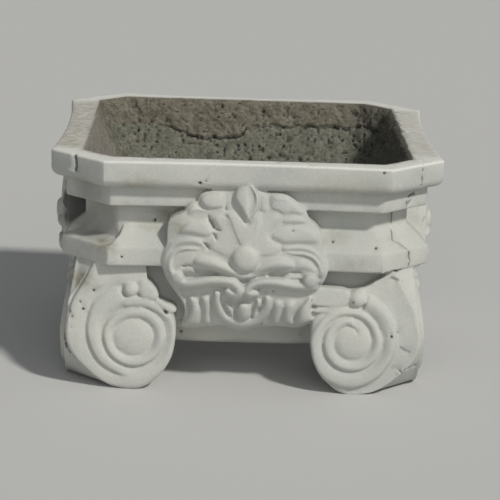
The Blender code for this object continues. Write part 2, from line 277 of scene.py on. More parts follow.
def rounded(inset, height, radius, start, end, steps=5):
    """Rings round a quarter circle about a point of the profile, from one angle to another."""
    turns = np.radians(np.linspace(start, end, steps))
    return [outside(inset - radius * math.cos(t), height + radius * math.sin(t)) for t in turns]


def bell_ring(reach, height, squareness=4):
    """A square ring with well rounded corners: reach is to the middle of a side."""
    round_ring = circle(1, height)
    share = (np.abs(round_ring[:, :2] / MM) ** squareness).sum(1) ** (1 / squareness)
    round_ring[:, :2] *= reach / share[:, None]
    return round_ring


print("a ring of the plan has", len(outside(0, 0)), "points")

# %% [markdown]
# ## Bell, corona, neck, band and slab
# A lathe cannot make a square form, so the profile is given ring by ring, from the ground up.
# The bell swells out quickly from a straight foot to the corona. Inside, the profile comes back
# down as the tapering hollow, and the last ring joins the first, which leaves the hole right
# through. At the front left, one cut corner has a ledge below a taller neck.

# %% The body of the casting
BELL_BOTTOM, BELL_FOOT, CORONA_BOTTOM, FASCIA_TOP = 43.0, 73.0, 162.0, 188.0
NECK_BOTTOM, NECK_TOP, BAND_TOP, TOP = 213.0, 239.0, 265.0, 300.0
BELL_REACH, BELL_SWELL, BELL_EASED = 160.0, 42.0, 7.0
CORONA_IN, NECK_IN, BAND_IN = 14.5, 43.0, 19.0
HOPPER, THROAT = 180.0, 120.0
LEDGE_HEIGHT = 193.0

HOLLOW = [
    (TOP, plan(209, 218, 37, 0, TOP)),
    (NECK_TOP, plan(HOPPER, HOPPER, 26, 0, NECK_TOP)),
    (CORONA_BOTTOM, circle(THROAT, CORONA_BOTTOM)),
    (BELL_BOTTOM, circle(THROAT, BELL_BOTTOM)),
]
bell = []
for t in np.radians(np.linspace(90, 0, 5)):
    reach, height = BELL_EASED * (1 - math.cos(t)), BELL_EASED * math.sin(t)
    bell.append(bell_ring(BELL_REACH - reach, BELL_BOTTOM + BELL_EASED - height))
for s in np.linspace(0, 1, 9):
    height = BELL_FOOT + (CORONA_BOTTOM - BELL_FOOT) * s**2
    bell.append(bell_ring(BELL_REACH + BELL_SWELL * s, height))
half_slope, ledge = outside((CORONA_IN + NECK_IN) / 2, 200.5), outside(NECK_IN, LEDGE_HEIGHT)
half_slope[-CUT_STEPS:], half_slope[0] = ledge[-CUT_STEPS:], ledge[0]
profile = (
    bell
    + rounded(CORONA_IN + 3, CORONA_BOTTOM + 3, 3, -90, 0)
    + rounded(CORONA_IN + 3, FASCIA_TOP - 3, 3, 0, 60)
    + [half_slope, outside(NECK_IN, NECK_BOTTOM), outside(NECK_IN, NECK_TOP)]
    + rounded(BAND_IN + 2, NECK_TOP + 2, 2, -90, 0)
    + [outside(BAND_IN, BAND_TOP)]
    + rounded(13, BAND_TOP + 13, 13, -90, 0, 9)
    + rounded(3, TOP - 3, 3, 0, 90)
    + [HOLLOW[0][1], plan(206.5, 215.5, 38, 0, TOP - 3)]
    + [ring for _, ring in HOLLOW[1:]]
)
forms.append(skin(profile))
print("the body has", len(profile), "rings of", len(profile[0]), "points")

# %% [markdown]
# ## The scroll's outline
# Each corner has a horn with a scroll on both faces and a slanted hem between them. Seen from
# the front its outline is a scroll that widens towards the corona. The outline is drawn once,
# in shares of the scroll's reach. Its face leans out a little towards the scroll's eye.

# %% The scroll's outline and face
REACH = 87.5
EYE_ACROSS = 139.0
EYE_HEIGHT = 0.79 * REACH
# Height, inner side, outer side.
SCROLL_SIDES = softened(
    [
        (-0.79, -0.05, 0.15), (-0.75, -0.19, 0.36), (-0.64, -0.32, 0.54), (-0.49, -0.46, 0.71),
        (-0.32, -0.55, 0.88), (-0.12, -0.60, 0.99), (0.08, -0.61, 1.00), (0.28, -0.59, 0.97),
        (0.44, -0.49, 0.935), (0.54, -0.34, 0.89), (0.64, -0.20, 0.83), (0.85, -0.17, 0.71),
        (1.12, -0.15, 0.58),
    ],
    3,
)
SCROLL_SIDES[0] = (-0.79, -0.10, 0.20)


def face_distance(height):
    """How far a scroll's face lies from the pillar's axis: it leans out towards the eye."""
    return np.interp(height, (EYE_HEIGHT, CORONA_BOTTOM), (230.0, 217.0))


def on_face(across, above, out):
    """Points on the front face of the front right horn, from the eye, in metres."""
    across, above, out = np.broadcast_arrays(*(np.asarray(v, float) for v in (across, above, out)))
    height = EYE_HEIGHT + above
    return np.stack([EYE_ACROSS + across, -(face_distance(height) + out), height], -1) * MM


print(f"the scroll's eye is {EYE_HEIGHT:.1f} mm above the ground")

# %% [markdown]
# ## The horns under the corners
# Level slices through the outline make the horn. Each slice runs along the front face, round
# the hem, which has a small bead on both edges, and back along the other face. Above the bead
# of the scroll the face is hollowed back, but not on the horn at the front left.

# %% The horn
FACE_BACK = 5.0
HOLLOWED = 14.0
CLEAR_OF_SHAFT = 163.0
CLEAR_OF_THROAT = 155.0
CUT_LINE = ((0.7, 0.76, 0.81, 0.96, 1.1), (-0.19, -0.06, 0.16, 0.42, 0.6))


def horn_slice(height, hollowed):
    """One level slice, in mm, with the same number of corners at every height."""
    level = (height - EYE_HEIGHT) / REACH
    inner, outer, cut = (
        EYE_ACROSS + REACH * np.interp(level, *line)
        for line in (SCROLL_SIDES[:, (0, 1)].T, SCROLL_SIDES[:, (0, 2)].T, CUT_LINE)
    )
    arris = face_distance(height)
    face = arris - FACE_BACK
    clear = CLEAR_OF_SHAFT if height < BELL_BOTTOM else CLEAR_OF_THROAT
    back = max(clear / math.sqrt(2), inner)
    shoulder = max(math.sqrt(max(clear**2 - inner**2, 0)), back + 1)
    cut = min(max(cut, inner + 1), outer - 18)
    shade = face - (HOLLOWED * smooth_step(level, 0.70, 0.78) if hollowed else 0)
    half = [
        (inner, shade), (cut, shade), (cut + 2, face), (outer - 14, face), (outer - 8, arris - 3),
        (outer - 4, arris - 1.5), (outer - 1.5, arris - 2.2), (outer, arris - 5),
    ]
    other_half = [(y, x) for x, y in half[::-1]]
    flat = half + other_half + [(shoulder, inner), (back, back), (inner, shoulder)]
    return [(x * MM, -y * MM, height * MM) for x, y in flat]


def horn(hollowed):
    """A horn from level slices, up into the corona."""
    at_bell = [BELL_BOTTOM - 0.5, BELL_BOTTOM + 0.5]
    levels = np.unique(np.concatenate([SCROLL_SIDES[:, 0] * REACH + EYE_HEIGHT, at_bell]))
    rings = np.array([horn_slice(z, hollowed) for z in levels[levels < CORONA_BOTTOM + 6]])
    return skin(rings, (rings[0].mean(0), rings[-1].mean(0)))


FRONT_LEFT = 3  # quarter turns from the front right
hollowed_horn, full_horn = horn(True), horn(False)
for quarter in range(4):
    forms.append(turned_form(full_horn if quarter == FRONT_LEFT else hollowed_horn, quarter))
print("one horn has", len(full_horn[0]), "points")

# %% [markdown]
# ## Reliefs drawn in polar fashion
# The scrolls and shells are reliefs: at each place on the ground there is one height. A grid of
# spokes and rings from the middle out to the outline carries the height, and side walls take it
# back into the body. Near the middle the grid is fine, where the carving is finest too.

# %% A plate with a relief
def turn_of(across, above):
    """The angle of a place, clockwise from straight up, in degrees."""
    return np.degrees(np.arctan2(across, above)) % 360


def reach_to(outline, spokes):
    """How far a star-shaped outline lies from its middle along each spoke."""
    across, above = np.asarray(outline, float).T
    angle = turn_of(across, above)
    order = np.argsort(angle)
    turns = np.arange(spokes) * 360 / spokes
    return turns, np.interp(turns, angle[order], np.hypot(across, above)[order], period=360)


def plate(outline, relief, place, behind, spokes, rings):
    """A relief over an outline: place puts it in space, and behind takes its rim back."""
    turns, reach = reach_to(outline, spokes)
    angle = np.radians(turns)
    shares = np.linspace(0, 1, rings + 1)[1:, None]
    across, above = reach * shares * np.sin(angle), reach * shares * np.cos(angle)
    front = place(across, above, relief(across, above))
    rim = behind(front[-1])
    middle = np.zeros(1)
    ends = (place(middle, middle, relief(middle, middle))[0], rim.mean(0))
    return skin(np.concatenate([front, rim[None]]), ends)


def set_back(depth):
    """A function that takes a rim's points back by a depth in mm."""
    return lambda rim: rim + (0, depth * MM, 0)


full_outline = np.vstack([SCROLL_SIDES[:, [2, 0]], SCROLL_SIDES[::-1, [1, 0]]]) * REACH
print("scroll outline spans", np.ptp(full_outline, axis=0).round(1), "mm")

# %% [markdown]
# ## The spiral's groove and rolls
# One groove starts at the bead, winds clockwise three times and ends as a comma in the eye. It
# is drawn as a table of turning angle and distance. Between two turns of the groove lies a
# rounded roll whose crest is nearer its outer edge.

# %% Groove, roll and bead
GROOVE = np.array(
    [
        (0, 0.76), (17, 0.74), (60, 0.7), (90, 0.66), (125, 0.64), (180, 0.71), (225, 0.7),
        (270, 0.63), (315, 0.57), (360, 0.5), (380, 0.49), (420, 0.445), (660, 0.43), (720, 0.38),
        (780, 0.305), (840, 0.27), (960, 0.262), (1064, 0.256), (1090, 0.205), (1115, 0.148),
        (1130, 0.12),
    ]
)
GROOVE_DEPTH = 1.5
ROLL_RISE = 6.0
CREST = 0.66


def groove(turn):
    """How far the groove lies from the eye after turning so many degrees, in mm."""
    return np.interp(turn, *GROOVE.T) * REACH


def roll(share):
    """Cross-section of a roll, from its inner groove (0) to its outer one (1)."""
    share = np.clip(share, 0, 1)
    rising = np.sin(np.minimum(share / CREST, 1) * math.pi / 2)
    falling = np.cos(np.maximum((share - CREST) / (1 - CREST), 0) * math.pi / 2)
    return -GROOVE_DEPTH + (ROLL_RISE + GROOVE_DEPTH) * (rising * falling) ** 0.6


def dome(across, above, middle, radius, rise, fullness=2):
    """A ball that stands half out of the ground, or nothing outside it."""
    away = np.hypot(across - middle[0], above - middle[1]) / radius
    height = rise * np.sqrt(np.clip(1 - away**fullness, 0, 1))
    return np.where(away < 1, height, -GROOVE_DEPTH)


print("a roll's crest rises", roll(np.array([CREST]))[0], "mm")

# %% [markdown]
# ## The usual scroll
# Outside the first turn of the groove the face is a broad shallow dish that rises to the arris
# beside the hem. Its section is the cove below, from the groove to the edge.

# %% Relief of the usual scroll
COVE = [(0, -1.5), (0.1, -3.0), (0.35, -4.0), (0.6, -3.4), (0.8, -1.4), (0.9, -0.5), (0.96, -0.9)]
COVE = softened(COVE + [(1, -3.0)], 2)
TOP_LINE = [(0.61, 1.05), (0.55, 1.03), (0.42, 0.96), (0.28, 0.88), (0.16, 0.81), (0.0, 0.76)]
TOP_LINE.append((-0.12, 0.72))
low_sides = SCROLL_SIDES[SCROLL_SIDES[:, 0] < 0.66]
most_sides = SCROLL_SIDES[SCROLL_SIDES[:, 0] < 1.0]
scroll_outline = np.vstack([most_sides[:, [2, 0]], TOP_LINE, low_sides[::-1, [1, 0]]]) * REACH
EYE_RISE = 5
COMMA_DEPTH, COMMA_WIDTH = 3.4, 1.7
BEAD = ((5, 57), 11.3, 9.5)  # place, radius, rise


def to_edge(across, above, outline):
    """How far a place lies inside an outline, in mm, along the line from the eye."""
    turns, reach = reach_to(outline, 720)
    return np.interp(turn_of(across, above), turns, reach, period=360) - np.hypot(across, above)


def band_share(distance, first, inside):
    """The share of the way from the first turn of the groove to the edge."""
    return np.clip((distance - first) / np.maximum(distance - first + inside, 1), 0, 1)


def rolled_rim(inside, rise, width):
    """An edge that rolls over within so many mm."""
    rolling = np.clip(1 - inside / width, 0, 1)
    return -GROOVE_DEPTH + (rise + GROOVE_DEPTH) * np.sqrt(1 - rolling**2)


def scroll(across, above):
    distance, turn = np.hypot(across, above), turn_of(across, above)
    third, second = groove(turn + 720), groove(turn + 360)
    first = np.where(turn < 17, second, groove(turn))
    inside = to_edge(across, above, scroll_outline)
    cove = np.interp(band_share(distance, first, inside), *COVE.T)
    rim = rolled_rim(inside, 2.5, 6)
    out = np.where((turn > 12) & (turn < 185), cove, rim - GROOVE_DEPTH)
    outer_roll = np.minimum(roll((distance - second) / (first - second + 1e-9)), rim + 4)
    out = np.where(distance < first, outer_roll, out)
    out = np.where(distance < second, roll((distance - third) / (second - third)), out)
    cushion = np.sqrt(np.clip(1 - (distance / third) ** 4, 0, 1))
    eye = -GROOVE_DEPTH + (EYE_RISE + GROOVE_DEPTH) * cushion
    comma = COMMA_DEPTH * np.exp(-(((distance - groove(turn + 1080)) / COMMA_WIDTH) ** 2))
    out = np.where(distance < third, eye - comma * (1 - smooth_step(turn, 15, 42)), out)
    return np.maximum(out, dome(across, above, *BEAD))


SCROLL_DETAIL = {"spokes": 320, "rings": 84}
usual_face = plate(scroll_outline, scroll, on_face, set_back(9), **SCROLL_DETAIL)
print("one scroll face has", len(usual_face[0]), "points")

# %% [markdown]
# ## The scroll at the front left
# The mould was worked over there: the turns are nearly closed circles round a flat button, and
# the band beside the hem is a low flat one. The upper end of the outer turn fades out.

# %% Relief of the front left scroll
LEFT_GROOVE = np.array(
    [
        (0, 0.6), (16, 0.6), (19, 0.78), (51, 0.785), (67, 0.74), (84, 0.705), (98, 0.67),
        (125, 0.641), (148, 0.607), (200, 0.6), (240, 0.74), (300, 0.74), (325, 0.6), (360, 0.6),
    ]
)
LEFT_RING = np.array(
    [
        (0, 0.427), (25, 0.43), (50, 0.456), (75, 0.475), (107, 0.452), (260, 0.455), (300, 0.472),
        (330, 0.455), (360, 0.427),
    ]
)
LEFT_BUTTON = np.array(
    [
        (0, 0.262), (42, 0.265), (75, 0.305), (150, 0.294), (222, 0.276), (290, 0.292),
        (340, 0.268), (360, 0.262),
    ]
)
BAND = [(0, -1.5), (0.05, 0.2), (0.2, 1.4), (0.5, 2.0), (0.85, 2.0), (0.95, 1.2), (1, -2.0)]
BAND = softened(BAND, 2)
BUTTON_RISE = 3.6
LEFT_BEAD = ((5.3, 61), 10, 8.5)


def left_scroll(across, above):
    distance, turn = np.hypot(across, above), turn_of(across, above)
    first, ring, button = (
        np.interp(turn, *table.T) * REACH for table in (LEFT_GROOVE, LEFT_RING, LEFT_BUTTON)
    )
    inside = to_edge(across, above, full_outline)
    band = np.interp(band_share(distance, first, inside), *BAND.T)
    rim = rolled_rim(inside, 5, 8)
    top = -GROOVE_DEPTH + 3.6 * smooth_step(distance, 66, 71)
    out = np.where((turn > 16) & (turn < 200), band, top)
    turned = np.minimum(roll((distance - ring) / (first - ring)), rim)
    out = np.where(distance < first, turned, out)
    fading = smooth_step(turn, 150, 180) * (turn < 300)
    plain = np.minimum(roll((distance - ring) / (0.9 * REACH - ring)), rim)
    out = out + fading * (plain - out)
    out = np.where(distance < ring, roll((distance - button) / (ring - button)) - 0.5, out)
    disc = np.clip(1 - (distance / button) ** 8, 0, 1) ** 0.5
    raised = 0.9 * (1 - smooth_step(distance, 15, 18))
    eye = -GROOVE_DEPTH + (BUTTON_RISE + GROOVE_DEPTH) * disc + raised
    out = np.where(distance < button, eye, out)
    return np.maximum(out, dome(across, above, *LEFT_BEAD))


left_face = plate(full_outline, left_scroll, on_face, set_back(9), **SCROLL_DETAIL)
EIGHT_FACES = [(quarter, mirrored) for quarter in range(4) for mirrored in (False, True)]
LEFT_FACE = (FRONT_LEFT, True)
for spot in EIGHT_FACES:
    forms.append(turned_form(left_face if spot == LEFT_FACE else usual_face, *spot))
print(len(EIGHT_FACES), "scroll faces laid on")

# %% [markdown]
# ## Pillows
# Small raised forms are pillows: an outline, a height, and edges that roll over. The lower the
# fullness, the rounder the pillow; a high one gives a flat top with a tight edge. Plain blocks
# stand behind them and join the scroll to the bell.

# %% Pillows and blocks
def pillow(outline, rise, fullness, back=22.0, spokes=96, rings=14):
    """A raised form with rolled edges over an outline drawn on the scroll's face."""
    outline = softened(outline, 2, closed=True)
    middle = outline.mean(0)
    turns, reach = reach_to(outline - middle, spokes)

    def relief(across, above):
        edge = np.interp(turn_of(across, above), turns, reach, period=360)
        return rise * np.clip(1 - (np.hypot(across, above) / edge) ** fullness, 0, 1) ** 0.5

    def place(across, above, out):
        return on_face(across + middle[0], above + middle[1], out)

    return plate(outline - middle, relief, place, set_back(back), spokes, rings)


def block(left, right, low, high, front, back, slope=0):
    """A plain block from back to front: slope lifts its front's foot."""
    rings = []
    for out, foot in ((back, low), (front, low + slope)):
        spots = ((left, foot), (right, foot), (right, high), (left, high))
        rings.append([on_face(x, y, out) for x, y in spots])
    rings = np.array(rings)
    return skin(rings, (rings[0].mean(0), rings[-1].mean(0)))


print("a plain block has", len(block(0, 1, 0, 1, 1, 0)[0]), "points")

# %% [markdown]
# ## Strips, husk and tongue
# Beside the bead of the usual scroll lies a flat strip with a narrow wedge below it. At the
# front left there is a husk with a tongue instead.

# %% Strips, husk and tongue
web = block(-64, -4, 26, 67, -4, -85)
upper_web = block(-62, 2, 60, 94, -19, -85)
left_web = block(-78, -4, -14, 93, -25, -85, 32)
strip = [(-58, 46), (-58, 70), (-30, 70), (-6, 69), (-3, 58), (-5, 47), (-30, 46)]
wedge = [(-52, 36), (-52, 43), (-30, 45), (-5, 47), (-8, 43), (-30, 39)]
husk = [(-4, 73), (-14, 74), (-28, 63), (-32, 48), (-15, 47), (-4, 53)]
tongue = [(-22, 48), (-32, 49), (-40, 44), (-49, 42), (-55, 34), (-46, 30), (-36, 37)]
usual_pieces = (pillow(strip, 4.5, 14), pillow(wedge, 3.0, 6), web, upper_web)
left_pieces = (pillow(husk, 6.5, 4), pillow(tongue, 5.5, 4), left_web)
for spot in EIGHT_FACES:
    for piece in left_pieces if spot == LEFT_FACE else usual_pieces:
        forms.append(turned_form(piece, *spot))
print("forms so far:", len(forms))

# %% [markdown]
# ## Leaves and rolls
# A shell is a fan of puffed leaves round a ball, with rolled lips at the sides and leaves
# hanging below. A carver works such a shell in three ways, and so does this lesson. A broad
# leaf has an outline and rolls over at its edge. A roll follows a line, with a width and a
# height at each place. A slit or a recess is taken out where shade has to gather.

# %% The carver's two tools
def leaf(across, above, rise, rolled, outline, lowest=-1.0):
    """The height of a broad leaf, whose edge rolls over within so many mm of its outline."""
    line = softened(outline, 2, closed=True)
    (left, foot), (far, top) = line.min(0), line.max(0)
    near = (across > left) & (across < far) & (above > foot) & (above < top)
    x, y = across[near], above[near]
    to_line, inside = np.full(x.shape, 1e9), np.zeros(x.shape, bool)
    for (ax, ay), (bx, by) in zip(line, np.roll(line, -1, 0)):
        run, climb = bx - ax, by - ay
        share = np.clip(((x - ax) * run + (y - ay) * climb) / (run**2 + climb**2), 0, 1)
        to_line = np.minimum(to_line, np.hypot(x - ax - share * run, y - ay - share * climb))
        if climb:
            inside ^= ((ay > y) != (by > y)) & (x < ax + (y - ay) * run / climb)
    rolling = np.clip(1 - to_line / rolled, 0, 1)
    height = np.full(across.shape, float(lowest))
    height[near] = np.where(inside, rise * np.sqrt(1 - rolling**2), lowest)
    return height


def ridge(across, above, rows, lowest=-1.0):
    """The height of a roll along a line, with an oval section, and lowest beyond its edge."""
    rows = softened(rows, 2) if len(rows) > 2 else np.asarray(rows, float)
    best = np.full(across.shape, float(lowest))
    for (ax, ay, aw, ar), (bx, by, bw, br) in zip(rows, rows[1:]):
        near = (np.abs(across - (ax + bx) / 2) < abs(bx - ax) / 2 + max(aw, bw)) & (
            np.abs(above - (ay + by) / 2) < abs(by - ay) / 2 + max(aw, bw)
        )
        if not near.any():
            continue
        x, y = across[near], above[near]
        run, climb = bx - ax, by - ay
        share = np.clip(((x - ax) * run + (y - ay) * climb) / (run**2 + climb**2), 0, 1)
        away = np.hypot(x - ax - share * run, y - ay - share * climb) / (aw + share * (bw - aw))
        oval = (ar + share * (br - ar)) * np.sqrt(np.clip(1 - away**2, 0, 1))
        best[near] = np.maximum(best[near], np.where(away < 1, oval, lowest))
    return best


test_roll = [(-5, 0, 3, 4), (5, 0, 3, 4)]
print("height of a test roll on its crest:", ridge(np.zeros(1), np.zeros(1), test_roll)[0])

# %% [markdown]
# ## The front shell's middle
# The front shell was pressed and touched up by hand and is uneven, so every leaf has its own
# drawing: its rise, the width of its rolled edge, and its outline, across and above the ball.
# Two body leaves lie behind a calyx, and a bud stands out of the calyx at the top.

# %% Body leaves, calyx and bud
FRONT_LEAVES = {
    "left body leaf": (9.5, 5, (
        (-38, 58), (-30, 58), (-19, 53), (-11, 38), (-5, 22), (-4, 10), (-14, 2), (-22, -1),
        (-32, 3), (-43, 9), (-48, 14), (-46, 25), (-40, 33), (-34, 36), (-42, 46), (-44, 54),
    )),
    "right body leaf": (9.5, 5, (
        (13, 40), (17, 53), (30, 60), (38, 62), (45, 57), (42, 49), (33, 39), (27, 31), (35, 24),
        (45, 21), (45, 11), (36, 5), (26, 2), (18, 3), (6, 11), (10, 27),
    )),
    "calyx cup": (12, 4, (
        (-30, 59), (-24, 60), (-18, 62), (-12, 59), (-5, 51), (0, 43), (4, 51), (9, 58), (14, 61),
        (19, 56), (19, 44), (16, 31), (13, 16), (-1, 11), (-10, 18), (-16, 31), (-21, 44),
        (-25, 53),
    )),
    "bud": (16.5, 8, (
        (-1, 99), (7, 93), (12, 83), (13, 73), (13, 64), (6, 56), (0, 44), (-5, 54), (-12, 65),
        (-19, 74), (-20, 81), (-17, 89), (-11, 94),
    )),
    "bud right wing": (11, 5, (
        (6, 95), (17, 89), (26, 84), (26, 74), (26, 63), (19, 60), (14, 63), (14, 74), (12, 83),
    )),
}
print(len(FRONT_LEAVES), "leaves in the middle")

# %% [markdown]
# ## The front shell's petals
# The petals fan out from the calyx, three on each side, with narrow slivers and folds between
# them. The lowest ones curl round the lips.

# %% Petals
FRONT_LEAVES |= {
    "petal 1 left": (13, 6, (
        (-61, 71), (-61, 77), (-58, 82), (-51, 85), (-41, 87), (-30, 86), (-28, 80), (-29, 72),
        (-29, 65), (-37, 63), (-45, 62), (-51, 63), (-57, 66),
    )),
    "sliver left": (8, 6, ((-25, 85), (-20, 85), (-18, 74), (-16, 66), (-23, 61), (-26, 66))),
    "petal 2 left": (11, 6, (
        (-74, 52), (-77, 58), (-74, 66), (-67, 72), (-61, 67), (-54, 64), (-45, 61), (-45, 56),
        (-52, 57), (-60, 59), (-67, 57),
    )),
    "petal 3 left": (12, 9, (
        (-92, 26), (-87, 35), (-80, 44), (-73, 51), (-66, 50), (-57, 51), (-49, 50), (-42, 42),
        (-39, 33), (-44, 26), (-51, 25), (-59, 26), (-69, 28), (-81, 28),
    )),
    "petal end left": (6, 6, (
        (-100, 40), (-98, 46), (-91, 51), (-77, 58), (-73, 52), (-81, 43), (-88, 35), (-93, 24),
        (-97, 27),
    )),
    "inner tongue left": (9, 4, (
        (-91, -2), (-87, 5), (-79, 8), (-70, 10), (-60, 8), (-64, 1), (-66, -8), (-75, -10),
        (-83, -14), (-89, -17), (-95, -15), (-95, -8),
    )),
    "petal 1 right": (11, 6, (
        (26, 85), (32, 87), (41, 87), (50, 84), (58, 78), (64, 71), (71, 67), (74, 59), (66, 58),
        (58, 60), (51, 59), (45, 57), (38, 62), (29, 64), (26, 74),
    )),
    "petal 1 right fold": (13, 6, (
        (28, 84), (37, 86), (48, 82), (56, 76), (52, 73), (42, 74), (31, 72),
    )),
    "petal 2 right": (11, 6, (
        (43, 52), (49, 57), (59, 60), (68, 58), (77, 53), (75, 48), (64, 46), (53, 46), (45, 45),
    )),
    "petal 3 right": (12, 9, (
        (30, 36), (38, 41), (50, 45), (64, 47), (78, 47), (88, 42), (93, 33), (93, 23), (85, 20),
        (69, 20), (54, 19), (46, 19), (43, 21), (35, 23), (28, 29),
    )),
    "small leaf right": (9, 6, (
        (46, -23), (53, -18), (63, -16), (72, -18), (73, -24), (63, -26), (54, -26),
    )),
    "inner scroll right": (11, 9, (
        (60, -2), (62, 4), (71, 5), (83, 2), (91, -7), (95, -17), (90, -20), (81, -17), (72, -14),
        (63, -15), (59, -10),
    )),
}
print(len(FRONT_LEAVES), "leaves with the petals")

# %% [markdown]
# ## The hanging leaves
# Plain leaves hang below the lips, with a drop between them in the middle.

# %% Hanging leaves and drop
FRONT_LEAVES |= {
    "leaf 1 left": (9, 9, (
        (-72, -52), (-66, -50), (-60, -53), (-56, -62), (-54, -72), (-55, -82), (-57, -89),
        (-67, -91), (-78, -89), (-72, -78), (-70, -64),
    )),
    "leaf 2 left": (7, 9, (
        (-57, -52), (-50, -48), (-44, -51), (-42, -64), (-43, -75), (-40, -87), (-53, -89),
        (-52, -72), (-54, -61),
    )),
    "leaf 2 right": (7, 9, (
        (37, -55), (44, -53), (50, -55), (49, -69), (45, -86), (34, -85), (36, -69),
    )),
    "leaf 3 right": (8, 9, (
        (51, -57), (58, -54), (66, -54), (65, -65), (62, -73), (67, -86), (51, -85), (49, -71),
    )),
    "leaf 4 right": (11, 9, (
        (68, -66), (75, -55), (84, -44), (88, -51), (85, -61), (87, -71), (90, -77), (79, -85),
        (70, -87), (66, -80),
    )),
    "drop": (12, 9, (
        (0, -56), (8, -59), (10, -67), (9, -77), (1, -85), (-8, -79), (-11, -67), (-8, -59),
    )),
    "inner leaf left": (9, 6, (
        (-25, -55), (-19, -58), (-14, -64), (-12, -74), (-10, -81), (-15, -79), (-19, -71),
        (-24, -65),
    )),
    "inner leaf right": (9, 6, (
        (15, -51), (23, -53), (22, -62), (17, -65), (16, -73), (12, -80), (11, -70), (14, -62),
    )),
}
print(len(FRONT_LEAVES), "leaves on the front shell")

# %% [markdown]
# ## The front shell's rolls
# The rolls are the lips at the sides, the two long rolls that curl in under the ball, and the
# collar round the drop. Each row holds a place, the half width there, and the rise.

# %% Rolls
FRONT_ROLLS = {
    "outer band left": (
        (-48, 14, 3.8, 9), (-54, 19, 5, 10), (-65, 22, 6, 11), (-78, 21, 6.3, 11),
        (-89, 18, 5.7, 11), (-96, 11, 5.3, 11), (-101, 0, 4.7, 10), (-101, -12, 3.8, 9),
        (-98, -23, 3.5, 8), (-91, -34, 3.1, 6), (-84, -45, 2.8, 5), (-77, -56, 2.5, 4),
        (-73, -68, 2.2, 4), (-74, -79, 2.2, 4),
    ),
    "inner band left": (
        (-59, 11, 2.2, 9), (-70, 12, 3.1, 11), (-81, 11, 3.5, 12), (-91, 6, 4.1, 12),
        (-96, -3, 4.7, 12), (-96, -13, 5.3, 12), (-92, -23, 6.3, 13),
    ),
    "roll left": (
        (-89, -29, 7.1, 13), (-78, -35, 7.5, 13), (-65, -34, 7.5, 14), (-53, -31, 7.5, 14),
        (-40, -29, 7.2, 14), (-28, -29, 7.2, 14), (-17, -31, 7.5, 14), (-9, -36, 7.8, 15),
        (-6, -44, 7.5, 15), (-11, -49, 7.2, 14),
    ),
    "curl left": ((-21, -43, 6.3, 12), (-15, -48, 6.6, 13), (-8, -48, 6.6, 13)),
    "roll right": (
        (87, -34, 6.3, 12), (76, -34, 7.2, 13), (63, -33, 7.2, 13), (51, -31, 7.2, 14),
        (38, -29, 7.2, 14), (26, -29, 6.9, 14), (15, -31, 6.6, 14), (6, -35, 6.3, 14),
        (2, -43, 6.3, 13),
    ),
    "curl right": ((1, -43, 6.3, 12), (7, -47, 6.6, 13), (13, -45, 6, 12)),
    "outer band right": (
        (46, 15, 3.8, 9), (58, 16, 4.7, 11), (71, 17, 5, 11), (83, 14, 5, 11), (93, 6, 4.7, 10),
        (98, -5, 4.1, 9), (100, -17, 3.5, 8), (96, -27, 2.8, 6),
    ),
    "second band right": (
        (52, 10, 2.2, 9), (63, 9, 2.8, 11), (74, 9, 3.1, 12), (85, 5, 3.1, 12), (92, -3, 3.1, 11),
        (96, -14, 2.8, 10),
    ),
    "collar": (
        (-35, -46, 4.6, 8), (-35, -55, 5.4, 8.5), (-32, -67, 6, 8.5), (-25, -78, 6.4, 8.5),
        (-15, -84, 6.6, 8), (-2, -87, 6.6, 8), (10, -85, 6.6, 8), (20, -78, 6.8, 8),
        (27, -68, 6.8, 8.5), (30, -59, 6, 8.5), (29, -51, 4.6, 8),
    ),
    "band under the ball": (
        (-20, -19, 3.4, 8), (-10, -22, 4.2, 9), (0, -23, 4.6, 9), (10, -21, 4.2, 9),
        (18, -17, 3.4, 8),
    ),
    "arm left": (
        (-60, -5, 7.2, 13), (-52, -5, 9.1, 15), (-41, -7, 9.7, 16), (-30, -11, 8.5, 15),
        (-19, -16, 6.3, 13), (-9, -20, 4.1, 10),
    ),
    "arm right": (
        (13, -16, 4.1, 10), (20, -11, 6.6, 13), (31, -6, 8.8, 15), (42, -4, 10, 16),
        (51, -5, 9.1, 15), (57, -6, 6.3, 13),
    ),
    "cup right edge": (
        (16, 59, 1.8, 12.5), (14, 48, 1.9, 13), (11, 37, 1.9, 13), (8, 26, 1.6, 12.5),
    ),
    "bud rim": (
        (-1, 97, 2.2, 16), (6, 92, 2.8, 18), (11, 83, 3, 18.5), (12, 73, 3, 18.5),
        (10, 63, 2.8, 17), (2, 51, 2.2, 14),
    ),
}
print(len(FRONT_ROLLS), "rolls on the front shell")

# %% [markdown]
# ## Balls, slits, recesses and outline
# Each ball has a place, a radius and a rise. A slit is a narrow roll taken out of the leaves,
# and a recess is a leaf taken out of the ground. The outline is where the shell ends.

